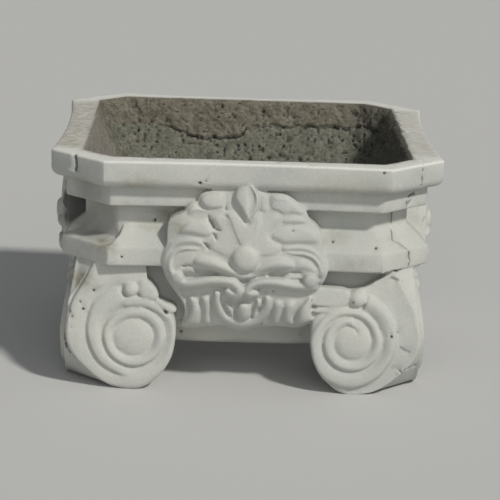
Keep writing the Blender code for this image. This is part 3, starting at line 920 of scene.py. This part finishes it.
# %% Balls, slits, recesses and outline
FRONT_BALLS = (((-1, 0), 19.5, 18), ((82, -26), 11, 17), ((-86, -27), 9.5, 15.5))
FRONT_SLITS = {
    "slit 1": (
        (-49, 56, 0.8, 6), (-47, 50, 1.9, 9), (-43, 45, 2.2, 10), (-41, 39, 1.7, 9),
        (-36, 37, 1.6, 9), (-31, 36, 0.7, 6),
    ),
    "slit 2": ((-42, 32, 1.3, 8), (-39, 29, 1.6, 8), (-38, 24, 1.2, 7)),
    "slit 3": ((-59, 22, 0.7, 6), (-52, 19, 1.6, 9), (-48, 15, 1.9, 9), (-47, 11, 1.0, 7)),
    "slit 4": ((-27, 84, 0.8, 3), (-27, 76, 0.8, 3), (-27, 69, 1.2, 6), (-27, 63, 1.6, 9)),
    "slit 5": ((-84, -14, 0.8, 6), (-76, -11, 1.3, 8), (-68, -10, 0.9, 7)),
    "step": ((45, 21, 1.1, 6), (45, 11, 1.1, 6)),
    "hollow of the bud": ((1, 87, 3.2, 2), (4, 78, 5, 3), (3, 67, 4.2, 2.5), (1, 58, 2.4, 1.5)),
}
FRONT_RECESSES = {
    "under the left arm": (
        (-67, -13), (-61, -22), (-47, -22), (-31, -22), (-22, -23), (-26, -21), (-39, -17),
        (-47, -15), (-56, -15), (-63, -13),
    ),
    "under the right arm": (
        (28, -17), (36, -14), (45, -15), (53, -16), (59, -13), (71, -14), (73, -18), (61, -17),
        (49, -20), (45, -23), (38, -25), (30, -23),
    ),
    "left of the collar": (
        (-41, -44), (-39, -55), (-35, -68), (-39, -86), (-42, -86), (-41, -72), (-42, -55),
    ),
    "under the right roll": (
        (20, -42), (32, -41), (48, -42), (64, -43), (80, -41), (74, -50), (66, -52), (55, -52),
        (42, -51), (33, -49), (25, -48),
    ),
    "under the left roll": (
        (-79, -45), (-62, -45), (-43, -43), (-27, -39), (-27, -48), (-38, -44), (-46, -47),
        (-57, -50), (-70, -49),
    ),
}
FRONT_OUTLINE = (
    (-1, 100), (7, 96), (18, 90), (26, 86), (41, 87), (50, 84), (59, 78), (66, 71), (72, 67),
    (76, 59), (78, 53), (89, 44), (95, 33), (95, 20), (100, 7), (104, -5), (104, -17), (100, -28),
    (93, -36), (88, -45), (87, -61), (91, -77), (81, -86), (67, -89), (51, -87), (34, -87),
    (23, -87), (10, -93), (-2, -95), (-16, -92), (-26, -87), (-39, -89), (-54, -91), (-68, -93),
    (-81, -92), (-77, -81), (-75, -68), (-79, -57), (-87, -47), (-95, -36), (-102, -25),
    (-105, -12), (-106, -1), (-103, 10), (-100, 17), (-100, 40), (-98, 48), (-91, 53), (-78, 59),
    (-75, 67), (-67, 73), (-62, 72), (-62, 78), (-58, 83), (-51, 86), (-41, 88), (-28, 87),
    (-20, 87), (-18, 90), (-11, 96),
)
print(len(FRONT_SLITS), "slits and", len(FRONT_RECESSES), "recesses")

# %% [markdown]
# ## Carving a shell
# The ground under the leaves is a cushion that falls back towards the bell at its foot, and the
# whole shell leans: what stands further out sits higher. The higher of two leaves wins, as when
# one is pressed over another, and the slits are cut last.

# %% Relief and form of a shell
BALL_HEIGHT = 180.0
SHELL_FACE = 226.0
SHELL_CUSHION = 12.0
SHELL_FALL_BACK = 16.0
FALLS_FROM, FALLS_OVER = 44, 54
SHELL_LEAN = 0.25
FAN_BED = 7.5
RECESS_DEPTH, RECESS_ROLL = 7, 4
SHELL_DETAIL = {"spokes": 400, "rings": 110}


def shell_relief(across, above, cut=True):
    """The carving of the front shell, in mm above its ground."""
    out = FAN_BED * smooth_step(above, -24, -16)
    for outline in FRONT_RECESSES.values():
        out = out - leaf(across, above, RECESS_DEPTH, RECESS_ROLL, outline, 0)
    for rise, rolled, outline in FRONT_LEAVES.values():
        out = np.maximum(out, leaf(across, above, rise, rolled, outline))
    for rows in FRONT_ROLLS.values():
        out = np.maximum(out, ridge(across, above, rows))
    for middle, radius, rise in FRONT_BALLS:
        out = np.maximum(out, dome(across, above, middle, radius, rise, 4))
    for rows in FRONT_SLITS.values() if cut else ():
        out = out - ridge(across, above, rows, 0)
    return out


def shell(outline, relief):
    """One shell, as a form on the front."""
    outline = softened(outline, 1, closed=True)
    turns, reach = reach_to(outline, 360)

    def on_shell(across, above, out):
        edge = np.interp(turn_of(across, above), turns, reach, period=360)
        cushion = SHELL_CUSHION * (1 - (np.hypot(across, above) / edge) ** 2)
        fall = SHELL_FALL_BACK * np.clip((-above - FALLS_FROM) / FALLS_OVER, 0, 1)
        distance = SHELL_FACE + cushion - fall + out
        height = BALL_HEIGHT + above - SHELL_LEAN * (HALF - distance)
        return np.stack([across, -distance, height], -1) * MM

    def to_wall(rim):
        """The rim's points taken back level to just outside the hollow."""
        levels, reaches = (CORONA_BOTTOM, NECK_TOP, TOP), (THROAT, HOPPER, 216)
        wall = np.interp(rim[:, 2] / MM, levels, reaches) + 12
        return np.column_stack([rim[:, 0], -wall * MM, rim[:, 2]])

    return plate(outline, relief, on_shell, to_wall, **SHELL_DETAIL)


front_shell = shell(FRONT_OUTLINE, shell_relief)
forms.append(front_shell)
print("the front shell has", len(front_shell[0]), "points")

# %% [markdown]
# ## The other three shells
# The photograph does not show them. They take the right half of the front one and mirror it,
# without slits, so they are plainer but in keeping.

# %% The even shells
even_half = [(0, 101)] + [(x, y) for x, y in FRONT_OUTLINE if x > 0] + [(0, -96)]
even_outline = even_half + [(-x, y) for x, y in even_half[-2:0:-1]]
even_shell = shell(even_outline, lambda x, y: shell_relief(np.abs(x), y, cut=False))
for quarter in (1, 2, 3):
    forms.append(turned_form(even_shell, quarter))
print("forms in all:", len(forms), "with", sum(len(p) for p, _ in forms), "points")

# %% [markdown]
# ## One skin over everything
# The forms overlap like clay pressed on clay. Blender's Remesh modifier in voxel mode fills
# them with small cubes and draws a single closed surface round the lot, which is what the
# mould did. A light smoothing then takes off the cubes' stair steps.

# %% Join and remesh
def mesh_from(name, points, triangles):
    """A mesh made from arrays, which is far quicker than from lists."""
    mesh = bpy.data.meshes.new(name)
    mesh.vertices.add(len(points))
    mesh.vertices.foreach_set("co", np.ascontiguousarray(points, np.float32).ravel())
    mesh.loops.add(triangles.size)
    corners = np.ascontiguousarray(triangles, np.int32).ravel()
    mesh.loops.foreach_set("vertex_index", corners)
    mesh.polygons.add(len(triangles))
    mesh.polygons.foreach_set("loop_start", np.arange(0, triangles.size, 3, dtype=np.int32))
    mesh.update(calc_edges=True)
    return mesh


def applied(made):
    """The object's mesh with its modifiers worked out and taken off."""
    depsgraph = bpy.context.evaluated_depsgraph_get()
    finished = bpy.data.meshes.new_from_object(
        made.evaluated_get(depsgraph), preserve_all_data_layers=True, depsgraph=depsgraph
    )
    made.modifiers.clear()
    made.data = finished
    return finished


starts = np.cumsum([0] + [len(p) for p, _ in forms])
all_points = np.vstack([p for p, _ in forms])
all_triangles = np.vstack([t + s for (_, t), s in zip(forms, starts)])
pressed = mesh_from("capital_cast", all_points, all_triangles)
capital = bpy.data.objects.new("capital_cast", pressed)
bpy.context.scene.collection.objects.link(capital)
one_skin = capital.modifiers.new("one skin", "REMESH")
one_skin.mode = "VOXEL"
one_skin.voxel_size = VOXEL
eased = capital.modifiers.new("eased", "SMOOTH")
eased.factor = 0.5
eased.iterations = 2
cast = applied(capital)
print("the skin has", len(cast.vertices), "points")

# %% [markdown]
# ## Noise in space
# Rough concrete has no pattern, but it has sizes: lumps as wide as a thumb, crumbs, grains.
# Noise of one size is a lattice of random numbers with smooth blending between them. Several
# sizes added up give a surface like the real one, and a fixed seed gives the same every time.

# %% Lattice noise
LATTICE = 65536
random_numbers = np.random.default_rng(7).random(LATTICE) * 2 - 1
PRIMES = np.array([73856093, 19349663, 83492791])


def noise(points, size, seed=0):
    """Smooth noise from -1 to 1, with lumps of one size in mm."""
    spot = points / (size * MM) + seed * 17.3
    corner = np.floor(spot).astype(np.int64)
    part = spot - corner
    part = part * part * (3 - 2 * part)
    total = np.zeros(len(points))
    for step in np.ndindex(2, 2, 2):
        key = (corner + step) * PRIMES
        value = random_numbers[(key[:, 0] ^ key[:, 1] ^ key[:, 2]) & (LATTICE - 1)]
        weight = np.prod(np.where(step, part, 1 - part), axis=1)
        total += value * weight
    return total


def read(mesh, what):
    """The places or normals of a mesh's points, as an array."""
    values = np.empty(len(mesh.vertices) * 3, np.float32)
    mesh.vertices.foreach_get(what, values)
    return values.reshape(-1, 3).astype(float)


points = read(cast, "co")
normals = read(cast, "normal")
print("noise at three sizes:", [round(float(noise(points[:1], s)[0]), 3) for s in (30, 12, 5)])

# %% [markdown]
# ## Where the hollow is
# The hollow's wall was never finished. It shows the raw mix, poured in two layers with an open
# ledge between them; only its left side came out smoother and paler. To treat the hollow apart
# from the smooth outside, each point is asked how far it lies behind the hollow's own surface.

# %% Mark the hollow
def behind_wall(points):
    """Distance in mm from the hollow's wall, outwards: negative in the open."""
    angle = np.degrees(np.arctan2(points[:, 1], points[:, 0]))
    height = points[:, 2] / MM
    radii = []
    for _, ring in HOLLOW:
        turns = np.degrees(np.arctan2(ring[:, 1], ring[:, 0]))
        order = np.argsort(turns)
        reach = np.hypot(*ring[order, :2].T)
        radii.append(np.interp(angle, turns[order], reach, period=360) / MM)
    wall = radii[-1]
    for upper in (2, 1, 0):
        (high, _), (low, _) = HOLLOW[upper], HOLLOW[upper + 1]
        share = np.clip((height - low) / (high - low), 0, 1)
        between = radii[upper + 1] + (radii[upper] - radii[upper + 1]) * share
        wall = np.where(height > low, between, wall)
    return np.hypot(points[:, 0], points[:, 1]) / MM - wall


behind = behind_wall(points)
in_hollow = 1 - smooth_step(behind, 1.0, 7.0)
in_hollow *= smooth_step(points[:, 2] / MM, BELL_BOTTOM - 2, BELL_BOTTOM + 2)
towards_axis = -(normals[:, 0] * points[:, 0] + normals[:, 1] * points[:, 1])
facing_in = towards_axis / np.hypot(points[:, 0], points[:, 1])
in_hollow *= smooth_step(facing_in, -0.2, 0.35)
print(f"{in_hollow.mean():.0%} of the skin is in the hollow")

# %% [markdown]
# ## The ledge between two layers
# The hollow was filled in two goes, and the upper layer stands a little proud of the lower one.
# The line between them is drawn for the back wall, and wanders by itself on the other walls.

# %% The ledge's line
LEDGE = np.array(
    [
        (-215, 30), (-160, 32), (-106, 37), (-90, 43), (-61, 50), (-36, 48), (-11, 49), (1, 38),
        (26, 32), (42, 29), (58, 34), (90, 29), (108, 31), (130, 29), (149, 34), (168, 27),
        (215, 33),
    ]
)


def ledge_depth(points):
    """How far below the top the ledge runs."""
    x, y = points[:, 0] / MM, points[:, 1] / MM
    drawn = np.interp(x, *LEDGE.T)
    level = points * (1, 1, 0)
    wandering = 36 + 9 * noise(level, 60, 3) + 4 * noise(level, 15, 4)
    at_back = smooth_step(y, 120, 160)
    line = drawn * at_back + wandering * (1 - at_back)
    return line + 2.0 * noise(points, 8, 5) + 1.3 * noise(points, 3.5, 6)


depth = TOP - points[:, 2] / MM
below = depth - ledge_depth(points)
print(f"{(below > 0)[in_hollow > 0.5].mean():.0%} of the hollow's wall is below the ledge")

# %% [markdown]
# ## The raw wall
# Displacing each point along its normal roughens the wall: lumps first, then crumbs, then open
# pits. Right under the ledge's lip the mix has fallen out, which leaves the dark crack that
# runs across the back, wide in one place and closed in another. The upper layer was dragged by
# a tool, so its crumbs lie in slanting rows.

# %% Roughen the hollow
SLANT = np.array([(0.21, 0, 0.7), (0, 1, 0), (-0.21, 0, 0.7)])


def over(values, level):
    """What of the values stands over a level."""
    return np.clip(values - level, 0, 1)


lumps = 2.2 * noise(points, 32, 1) + 1.7 * noise(points, 13, 2)
crumbs = 1.0 * noise(points, 6, 3) + 0.7 * noise(points, 3.2, 4)
pits = -7.0 * over(noise(points, 5, 6), 0.30) - 8.0 * over(noise(points, 9, 7), 0.42)
lower_layer = smooth_step(below, 0, 2.5)
rows_of_crumbs = 1.5 * noise(points @ SLANT, 4.2, 9) * (1 - lower_layer)
layers_part = 0.15 + 0.85 * smooth_step(points[:, 0] / MM, -128, -100)
crack = layers_part * (0.3 + 0.7 * smooth_step(noise(points, 17, 8), -0.35, 0.2))
rough = 2.2 * layers_part * (1 - smooth_step(below, -1, 2))
rough -= 4.2 * crack * np.exp(-(((below - 1.5) / 1.6) ** 2))
upper_crumbs, upper_pits = 0.8 + 0.2 * lower_layer, 0.75 + 0.25 * lower_layer
for more in (lumps, rows_of_crumbs, crumbs * upper_crumbs, pits * upper_pits):
    rough += more
on_left = smooth_step(-points[:, 0] / MM, 120, 175) * smooth_step(-points[:, 1] / MM, -130, -70)
rough *= 1 - 0.6 * on_left
fade = smooth_step(depth, 0, 5)
points += normals * (in_hollow * fade * rough * MM)[:, None]
print(f"the wall moves by {np.abs(rough[in_hollow > 0.5]).mean():.1f} mm on average")

# %% [markdown]
# ## Handled edges and a surface that was pressed by hand
# The outside is smooth but never flat. Faint waves come from the mould, and the arrises are
# nibbled, most of all along the rim. To find edges, the skin is compared with a much smoother
# copy of itself: what stands proud of the copy is an edge, and what lies behind it is a groove.
# The same number later tells the material where grooves and pits are darkened, with dust and
# painted shade.

# %% Edges and grooves
def height_over_smooth(mesh, rounds):
    """How far each point stands proud of a smoothed copy of the mesh, in mm."""
    helper = bpy.data.objects.new("smoothed copy", mesh.copy())
    bpy.context.scene.collection.objects.link(helper)
    smoother = helper.modifiers.new("smooth", "SMOOTH")
    smoother.factor = 0.5
    smoother.iterations = rounds
    smooth = read(applied(helper), "co")
    bpy.data.objects.remove(helper)
    return np.einsum("ij,ij->i", read(mesh, "co") - smooth, read(mesh, "normal")) / MM


proud = height_over_smooth(cast, 12)
outside_part = 1 - in_hollow
waves = 0.35 * noise(points, 45, 11) + 0.16 * noise(points, 14, 12) + 0.07 * noise(points, 5, 13)
edge = smooth_step(proud, 0.25, 0.9)
bites = over(noise(points, 8, 14) + 0.5 * noise(points, 3.5, 15), 0.15)
nibbled = -edge * (0.25 + 1.6 * bites)
nibbled *= 1 + 1.6 * smooth_step(points[:, 2] / MM, TOP - 12, TOP - 3)
points += normals * (outside_part * (waves + nibbled) * MM)[:, None]
print(f"arrises cover {(edge > 0.5).mean():.1%} of the skin")

# %% [markdown]
# ## Bug holes, the mould's joints and chips
# Air trapped against the mould leaves bug holes, and the dark in each is painted shade. The
# mould's parts met on the diagonals of the square, so a thin broken line runs down the cut
# corners. Cracks, chips and drips of cement are lines too, through places in space. How dark a
# mark is goes along with it.

# %% Places of the marks
# Each bug hole's place and radius, in mm.
BUG_HOLES = (
    (-116, -203, 216, 1.7), (-121, -170, 131, 1.5), (-191, -224, 127, 1.5), (-208, -226, 112, 1.3),
    (-204, -227, 103, 1.7), (-156, -234, 174, 1.4), (110, -218, 198, 1.6), (164, -227, 194, 1.6),
    (58, -243, 217, 1.3), (86, -229, 123, 1.5), (189, -234, 80, 1.6), (197, -226, 84, 1.2),
    (138, -230, 122, 1.2), (168, -249, 295, 1.5), (74, -237, 300, 1.4), (-60, -242, 274, 1.9),
    (-53, -242, 277, 1.2), (-80, -157, 57, 1.6), (23, -214, 85, 1.2), (36, -235, 135, 1.1),
    (221, -192, 300, 1.9), (227, -196, 300, 1.3),
)
# Half width, depth (below 0 goes in), darkness, and whether it is broken, then its places.
LINES = (
    (1.7, -4.0, 1.0, 0, (
        (-218, -211, 298), (-216.6, -213.4, 293), (-216, -214, 286), (-217, -213, 280),
    )),
    (1.2, -1.8, 0.9, 1, ((220, -206, 299), (220, -210, 293), (220, -210, 283), (219, -208, 272))),
    (1.3, -1.8, 0.7, 1, (
        (213, -190, 258), (205, -197, 256), (202, -200, 250), (203, -199, 244), (207, -195, 251),
    )),
    (1.0, -1.3, 0.7, 0, (
        (190, -179, 239), (186, -183, 230), (186, -183, 218), (186, -193, 206), (186, -204, 199),
    )),
    (0.9, -1.1, 0.5, 0, ((186, -204, 199), (197, -201, 194), (206, -201, 187), (209, -200, 181))),
    (1.2, -1.6, 0.9, 1, ((209, -200, 183), (210, -199, 172), (209.5, -199.5, 164))),
    (1.4, -1.8, 0.9, 1, ((150, -234, 163), (168, -234, 163), (181, -228, 163), (198, -207, 161))),
    (1.4, 1.2, 0.0, 0, (
        (-201, -212, 147), (-206, -213, 140), (-211, -214, 131), (-216, -214, 124),
        (-220, -217, 117), (-225, -220, 106),
    )),
    (1.6, -2.2, 0.8, 1, (
        (-226, -222, 98), (-229, -222, 88), (-229, -225, 74), (-227, -225, 61), (-224, -220, 47),
        (-215, -223, 39),
    )),
    (2.4, -1.6, 0.3, 1, ((-220, -227, 104), (-222, -226, 96), (-216, -229, 90), (-220, -229, 80))),
    (1.0, -1.0, 0.6, 0, ((202, -228, 65), (207, -228, 61), (214, -228, 59))),
    (2.6, -1.5, 0.15, 1, ((194, -229, 37), (200, -230, 33), (206, -224, 28))),
    (1.6, -1.4, 0.25, 1, ((190, -220, 13), (197, -228, 27), (206, -230, 34), (223, -213, 36))),
    (1.3, -1.2, 0.7, 1, ((187, -217, 153), (195, -218, 151), (202, -212, 147))),
    (1.9, -4.0, 0.8, 0, ((-110, -231, 113), (-104, -232, 107), (-98, -231, 102))),
    (1.3, 1.5, 0.0, 0, ((-86, -158, 57), (-77, -158, 58))),
    (1.8, 1.6, 0.0, 0, ((73, -158, 56), (76, -158, 55))),
)
print(len(BUG_HOLES), "bug holes and", len(LINES), "lines are drawn")

# %% [markdown]
# ## Pressing the marks in
# The skin is pushed in or out along its normals near each line. A bug hole is a line with one
# place. On the sides that the photograph does not show, the holes fall where chance puts them.

# %% Marks in the skin
def near_line(places, reach):
    """The points within reach of a line through places, in mm, and how far each lies from it."""
    places = np.asarray(places, float)
    low, high = (places.min(0) - reach) * MM, (places.max(0) + reach) * MM
    near = np.flatnonzero(((points > low) & (points < high)).all(1))
    spots, away = points[near] / MM, np.full(len(near), 1e9)
    for first, last in zip(places, np.vstack([places[1:], places[-1:]])):
        run = last - first
        share = np.clip((spots - first) @ run / max(run @ run, 1e-9), 0, 1)
        away = np.minimum(away, np.linalg.norm(spots - first - share[:, None] * run, axis=1))
    return near, away


HIDDEN_HOLES = 50
HOLE_DEPTH = -2.5
LEAST_DARK = 0.2
chooser = np.random.default_rng(11)
unseen = (in_hollow < 0.1) & (points[:, 1] > -0.1) & (points[:, 2] > 0.05)
anywhere = points[chooser.choice(np.flatnonzero(unseen), HIDDEN_HOLES, replace=False)] / MM
holes = list(BUG_HOLES) + [
    (*spot, size) for spot, size in zip(anywhere, chooser.uniform(0.9, 1.5, HIDDEN_HOLES))
]
marks = []
for *spot, radius in holes:
    # A bug hole's dark colour is painted shade inside the hole, darker for a wider hole.
    darkness = np.clip((radius - 1) / 0.6, LEAST_DARK, 1)
    marks.append((radius, HOLE_DEPTH, darkness, 0, (spot,)))
# The darkening gathered here is partly real (joints, cracks, chips) and partly painted shade (bug
# holes, and the shade patches further down).
push, marks_and_shade = np.zeros(len(points)), np.zeros(len(points))
for half_width, mark_depth, darkness, broken, places in (*marks, *LINES):
    near, away = near_line(places, half_width + 1.5)
    there = 1 - smooth_step(away, half_width - 0.5, half_width + 0.9)
    if broken:
        there = there * smooth_step(noise(points[near], 3.5, 31), -0.25, 0.15)
    push[near] += mark_depth * there
    marks_and_shade[near] = np.maximum(marks_and_shade[near], darkness * there)
points += normals * (push * MM)[:, None]
cast.vertices.foreach_set("co", points.astype(np.float32).ravel())
cast.update()
print(len(holes), "bug holes and", len(LINES), "lines pressed in")

# %% [markdown]
# ## Stains and painted shade
# Brown and olive stains sit where water stays: behind the corona's cut corner, on the scroll
# below it, on the rim, and on the end of a petal. Shade is painted dark into the deep corner
# beside the side shell, over the band and neck of the left cut corner and on the hollow's right
# wall, and the bell is darkened along its foot. Each stain or shade patch is soft, in space,
# with a radius and a strength.

# %% Stained places and painted shade
BROWN = (
    (12, 0.8, ((-184, -214, 193), (-179, -226, 188))),
    (9, 0.6, ((-173, -235, 183), (-170, -228, 190))),
    (14, 0.7, ((-212, -208, 138), (-199, -222, 137))),
    (12, 0.5, ((-229, -150, 127), (-222, -190, 130))),
    (13, 0.9, ((-106, -200, 225), (-96, -222, 220))),
    (10, 0.5, ((-90, -232, 228), (-86, -236, 215))),
    (16, 0.3, ((104, -218, 198), (120, -212, 203))),
    (12, 0.35, ((-130, -205, 210), (-118, -205, 206))),
    (14, 0.35, ((-150, -244, 270), (-118, -244, 270))),
    (14, 0.3, ((150, -226, 175), (130, -234, 170))),
    (20, 0.25, ((90, -243, 272), (170, -244, 271))),
    (30, 0.6, ((-230, -150, 300), (-230, 150, 300))),
    (26, 0.4, ((230, -140, 300), (230, 150, 300))),
)
# Painted shade: the deep corner beside the side shell, the left side's neck by the corner, and the
# left cut corner's band and neck. The last patch darkens the bell along its foot.
PAINTED_SHADE_PATCHES = (
    (36, 0.8, (
        (-212, -95, 238), (-212, -120, 222), (-216, -100, 204), (-232, -95, 206), (-232, -95, 232),
    )),
    (16, 0.4, ((-196, -172, 214), (-214, -160, 200))),
    (40, 0.3, ((-200, -200, 248), (-188, -188, 205))),
    (8, 0.35, ((-100, -150, 45), (0, -157, 44), (100, -150, 45))),
)
# The hollow's right wall is painted dark as shade.
RIGHT_WALL_SHADE = 0.45
stained = np.zeros(len(points))
for values, patches in ((stained, BROWN), (marks_and_shade, PAINTED_SHADE_PATCHES)):
    for radius, strength, places in patches:
        near, away = near_line(places, radius)
        ragged = away + 0.25 * radius * noise(points[near], 9, 33)
        soft = strength * (1 - smooth_step(ragged, 0.35 * radius, radius))
        values[near] = np.maximum(values[near], soft)
right_wall_shade = RIGHT_WALL_SHADE * in_hollow * smooth_step(points[:, 0] / MM, 130, 185)
marks_and_shade = np.maximum(marks_and_shade, right_wall_shade)
print(f"stains cover {(stained > 0.2).mean():.1%} of the skin")

# %% [markdown]
# ## Numbers for the finish
# Attributes are numbers stored on the points of a mesh, which a material can read. Kept are
# the raw hollow, the grooves and edges, the layer below the ledge, marks with painted shade,
# stains, and the hollow's smoother side. After that the Decimate modifier takes away triangles
# where the surface is flat.

# %% Attributes and fewer triangles
FINISH_NUMBERS = {
    "hollow": in_hollow,
    "relief": height_over_smooth(cast, 25),
    "lower": lower_layer,
    "marks_and_shade": marks_and_shade,
    "stained": stained,
    "smooth_side": on_left,
}
for name, values in FINISH_NUMBERS.items():
    attribute = cast.attributes.new(name, "FLOAT", "POINT")
    attribute.data.foreach_set("value", np.asarray(values, np.float32))


def triangle_count(mesh):
    return sum(len(polygon.vertices) - 2 for polygon in mesh.polygons)


before = triangle_count(cast)
fewer = capital.modifiers.new("fewer", "DECIMATE")
fewer.ratio = min(1.0, MOST_TRIANGLES / before)
cast = applied(capital)
cast.shade_smooth()
print("triangles:", before, "then", triangle_count(cast), [a.name for a in cast.attributes])

# %% [markdown]
# ## The finish
# One material covers the casting. A small helper adds a node and links its inputs in one line,
# so that the recipe reads from top to bottom.

# %% Node helper
concrete = bpy.data.materials.new("cast concrete")
concrete.use_nodes = True
tree = concrete.node_tree
shader = tree.nodes["Principled BSDF"]


def feed(socket, value):
    """Link another socket to this one, or set its number or colour."""
    if isinstance(value, bpy.types.NodeSocket):
        tree.links.new(value, socket)
    elif isinstance(value, tuple):
        socket.default_value = (*value, 1.0)
    else:
        socket.default_value = value


def node(kind, settings=None, **inputs):
    """A new node: settings are its own choices, inputs are numbers or other sockets."""
    made = tree.nodes.new("ShaderNode" + kind)
    for name, value in (settings or {}).items():
        setattr(made, name, value)
    for name, value in inputs.items():
        numbered = name[0] == "i" and name[1:].isdigit()
        feed(made.inputs[int(name[1:]) if numbered else name.replace("_", " ")], value)
    return made


place = node("TexCoord").outputs["Object"]
hollow_share, relief_share, lower_share, marks_and_shade_share, stain_share, smooth_side = (
    node("Attribute", {"attribute_name": name}).outputs["Fac"] for name in FINISH_NUMBERS
)
print("the material reads", len(FINISH_NUMBERS), "numbers from the mesh")

# %% [markdown]
# ## Mixing
# A finish is mixed from a few kinds of step: noise of one size, a value stretched to a share,
# two colours mixed by a share, and a colour made lighter and darker by a value.

# %% Helpers for mixing
def noise_map(size, detail=3.0, roughness=0.55):
    """Noise of one size in mm, from 0 to 1."""
    scale = 1000 / size
    found = node("TexNoise", None, Vector=place, Scale=scale, Detail=detail, Roughness=roughness)
    return found.outputs["Fac"]


def ramp(value, low, high, first=0.0, last=1.0):
    """A value stretched from low..high to first..last."""
    inputs = {"Value": value, "From_Min": low, "From_Max": high, "To_Min": first, "To_Max": last}
    return node("MapRange", None, **inputs).outputs["Result"]


def mix(share, first, second, how="MIX"):
    """Two colours mixed: share is a number or a socket."""
    made = node("Mix", {"data_type": "RGBA", "blend_type": how}, i0=share, i6=first, i7=second)
    return made.outputs[2]


def shaded(colour, value):
    """A colour made lighter or darker by a value round 1."""
    grey = node("CombineColor", None, Red=value, Green=value, Blue=value).outputs[0]
    return mix(1.0, colour, grey, "MULTIPLY")


def times(first, second):
    return node("Math", {"operation": "MULTIPLY"}, i0=first, i1=second).outputs[0]


def plus(first, second):
    return node("Math", {"operation": "ADD"}, i0=first, i1=second).outputs[0]


print("nodes so far:", len(tree.nodes))

# %% [markdown]
# ## Colour of the outside
# Pale cement with a little lime bloom. Large cloudy patches differ by a few percent, grooves
# hold grey dust and painted shade, edges and the rim are rubbed lighter, and fine sand
# speckles everything.

# %% Outside colour
PALE = (0.54, 0.54, 0.50)
COOL = (0.46, 0.475, 0.445)
DUST_AND_SHADE = (0.30, 0.31, 0.285)
RUBBED = (0.62, 0.615, 0.575)
RIM_PALE = (0.76, 0.755, 0.71)
RIM_LEVELS = (0.2965, 0.299)
STAIN = (0.25, 0.225, 0.155)

colour = mix(ramp(noise_map(90), 0.35, 0.65), PALE, COOL)
# Grooves darker: grey dust together with painted shade.
colour = mix(ramp(relief_share, -0.3, -2.2), colour, DUST_AND_SHADE)
colour = mix(ramp(relief_share, 0.4, 1.6, 0.0, 0.7), colour, RUBBED)
height_share = node("SeparateXYZ", None, Vector=place).outputs["Z"]
colour = mix(ramp(height_share, *RIM_LEVELS, 0.0, 0.85), colour, RIM_PALE)
colour = shaded(colour, ramp(noise_map(1.6, 2.0), 0.35, 0.7, 0.93, 1.05))
colour = mix(times(stain_share, ramp(noise_map(9), 0.3, 0.6, 0.35, 1.0)), colour, STAIN)
print("outside colour laid")

# %% [markdown]
# ## Colour of the hollow
# Raw mix: grey and coarse below the ledge, browner above it, and nearly black in pits and the
# crack, which is painted shade.

# %% Hollow colour
RAW_GREY = (0.125, 0.127, 0.10)
RAW_BROWN = (0.125, 0.11, 0.08)
RAW_PALE = (0.235, 0.225, 0.18)
RAW_SMOOTH = (0.27, 0.25, 0.215)
RAW_RUBBED = (0.33, 0.325, 0.29)
PIT_SHADE = (0.045, 0.045, 0.04)
MARK_AND_SHADE_DARK = (0.055, 0.058, 0.05)

raw = mix(lower_share, RAW_BROWN, RAW_GREY)
raw = mix(ramp(noise_map(14, 4.0, 0.65), 0.35, 0.7, 0.0, 0.75), raw, RAW_PALE)
raw = mix(times(smooth_side, 0.8), raw, RAW_SMOOTH)
raw = mix(ramp(relief_share, 0.3, 1.8, 0.0, 0.5), raw, RAW_RUBBED)
# Pits and the crack painted nearly black: painted shade.
raw = mix(ramp(relief_share, 0.1, -1.4), raw, PIT_SHADE)
raw = shaded(raw, ramp(noise_map(3.2, 4.0, 0.7), 0.3, 0.7, 0.6, 1.35))
colour = mix(hollow_share, colour, raw)
# Dark joints and cracks, together with painted shade in bug holes, deep corners and the hollow's
# right wall.
colour = mix(marks_and_shade_share, colour, MARK_AND_SHADE_DARK)
tree.links.new(colour, shader.inputs["Base Color"])
shader.inputs["Roughness"].default_value = 0.9
shader.inputs["Specular IOR Level"].default_value = 0.25
print("hollow colour laid")

# %% [markdown]
# ## Grain
# The finest forms are too small for triangles, so they are bump: sand grain outside, coarse
# grain in the hollow.

# %% Bump
grain = plus(times(noise_map(2.2, 3.0, 0.6), 0.35), times(noise_map(7, 3.0), 0.5))
coarse = plus(times(noise_map(2.6, 3.0, 0.7), 1.0), times(noise_map(6, 3.0, 0.7), 1.4))
height = node("Mix", {"data_type": "FLOAT"}, Factor=hollow_share, i2=grain, i3=coarse).outputs[0]
bump = node("Bump", None, Strength=0.6, Distance=0.0012, Height=height)
tree.links.new(bump.outputs["Normal"], shader.inputs["Normal"])
cast.materials.clear()
cast.materials.append(concrete)
print("material has", len(tree.nodes), "nodes")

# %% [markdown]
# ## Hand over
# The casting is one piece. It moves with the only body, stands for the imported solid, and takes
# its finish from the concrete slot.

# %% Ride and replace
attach(capital, "root")
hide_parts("capital")
bpy.context.view_layer.update()
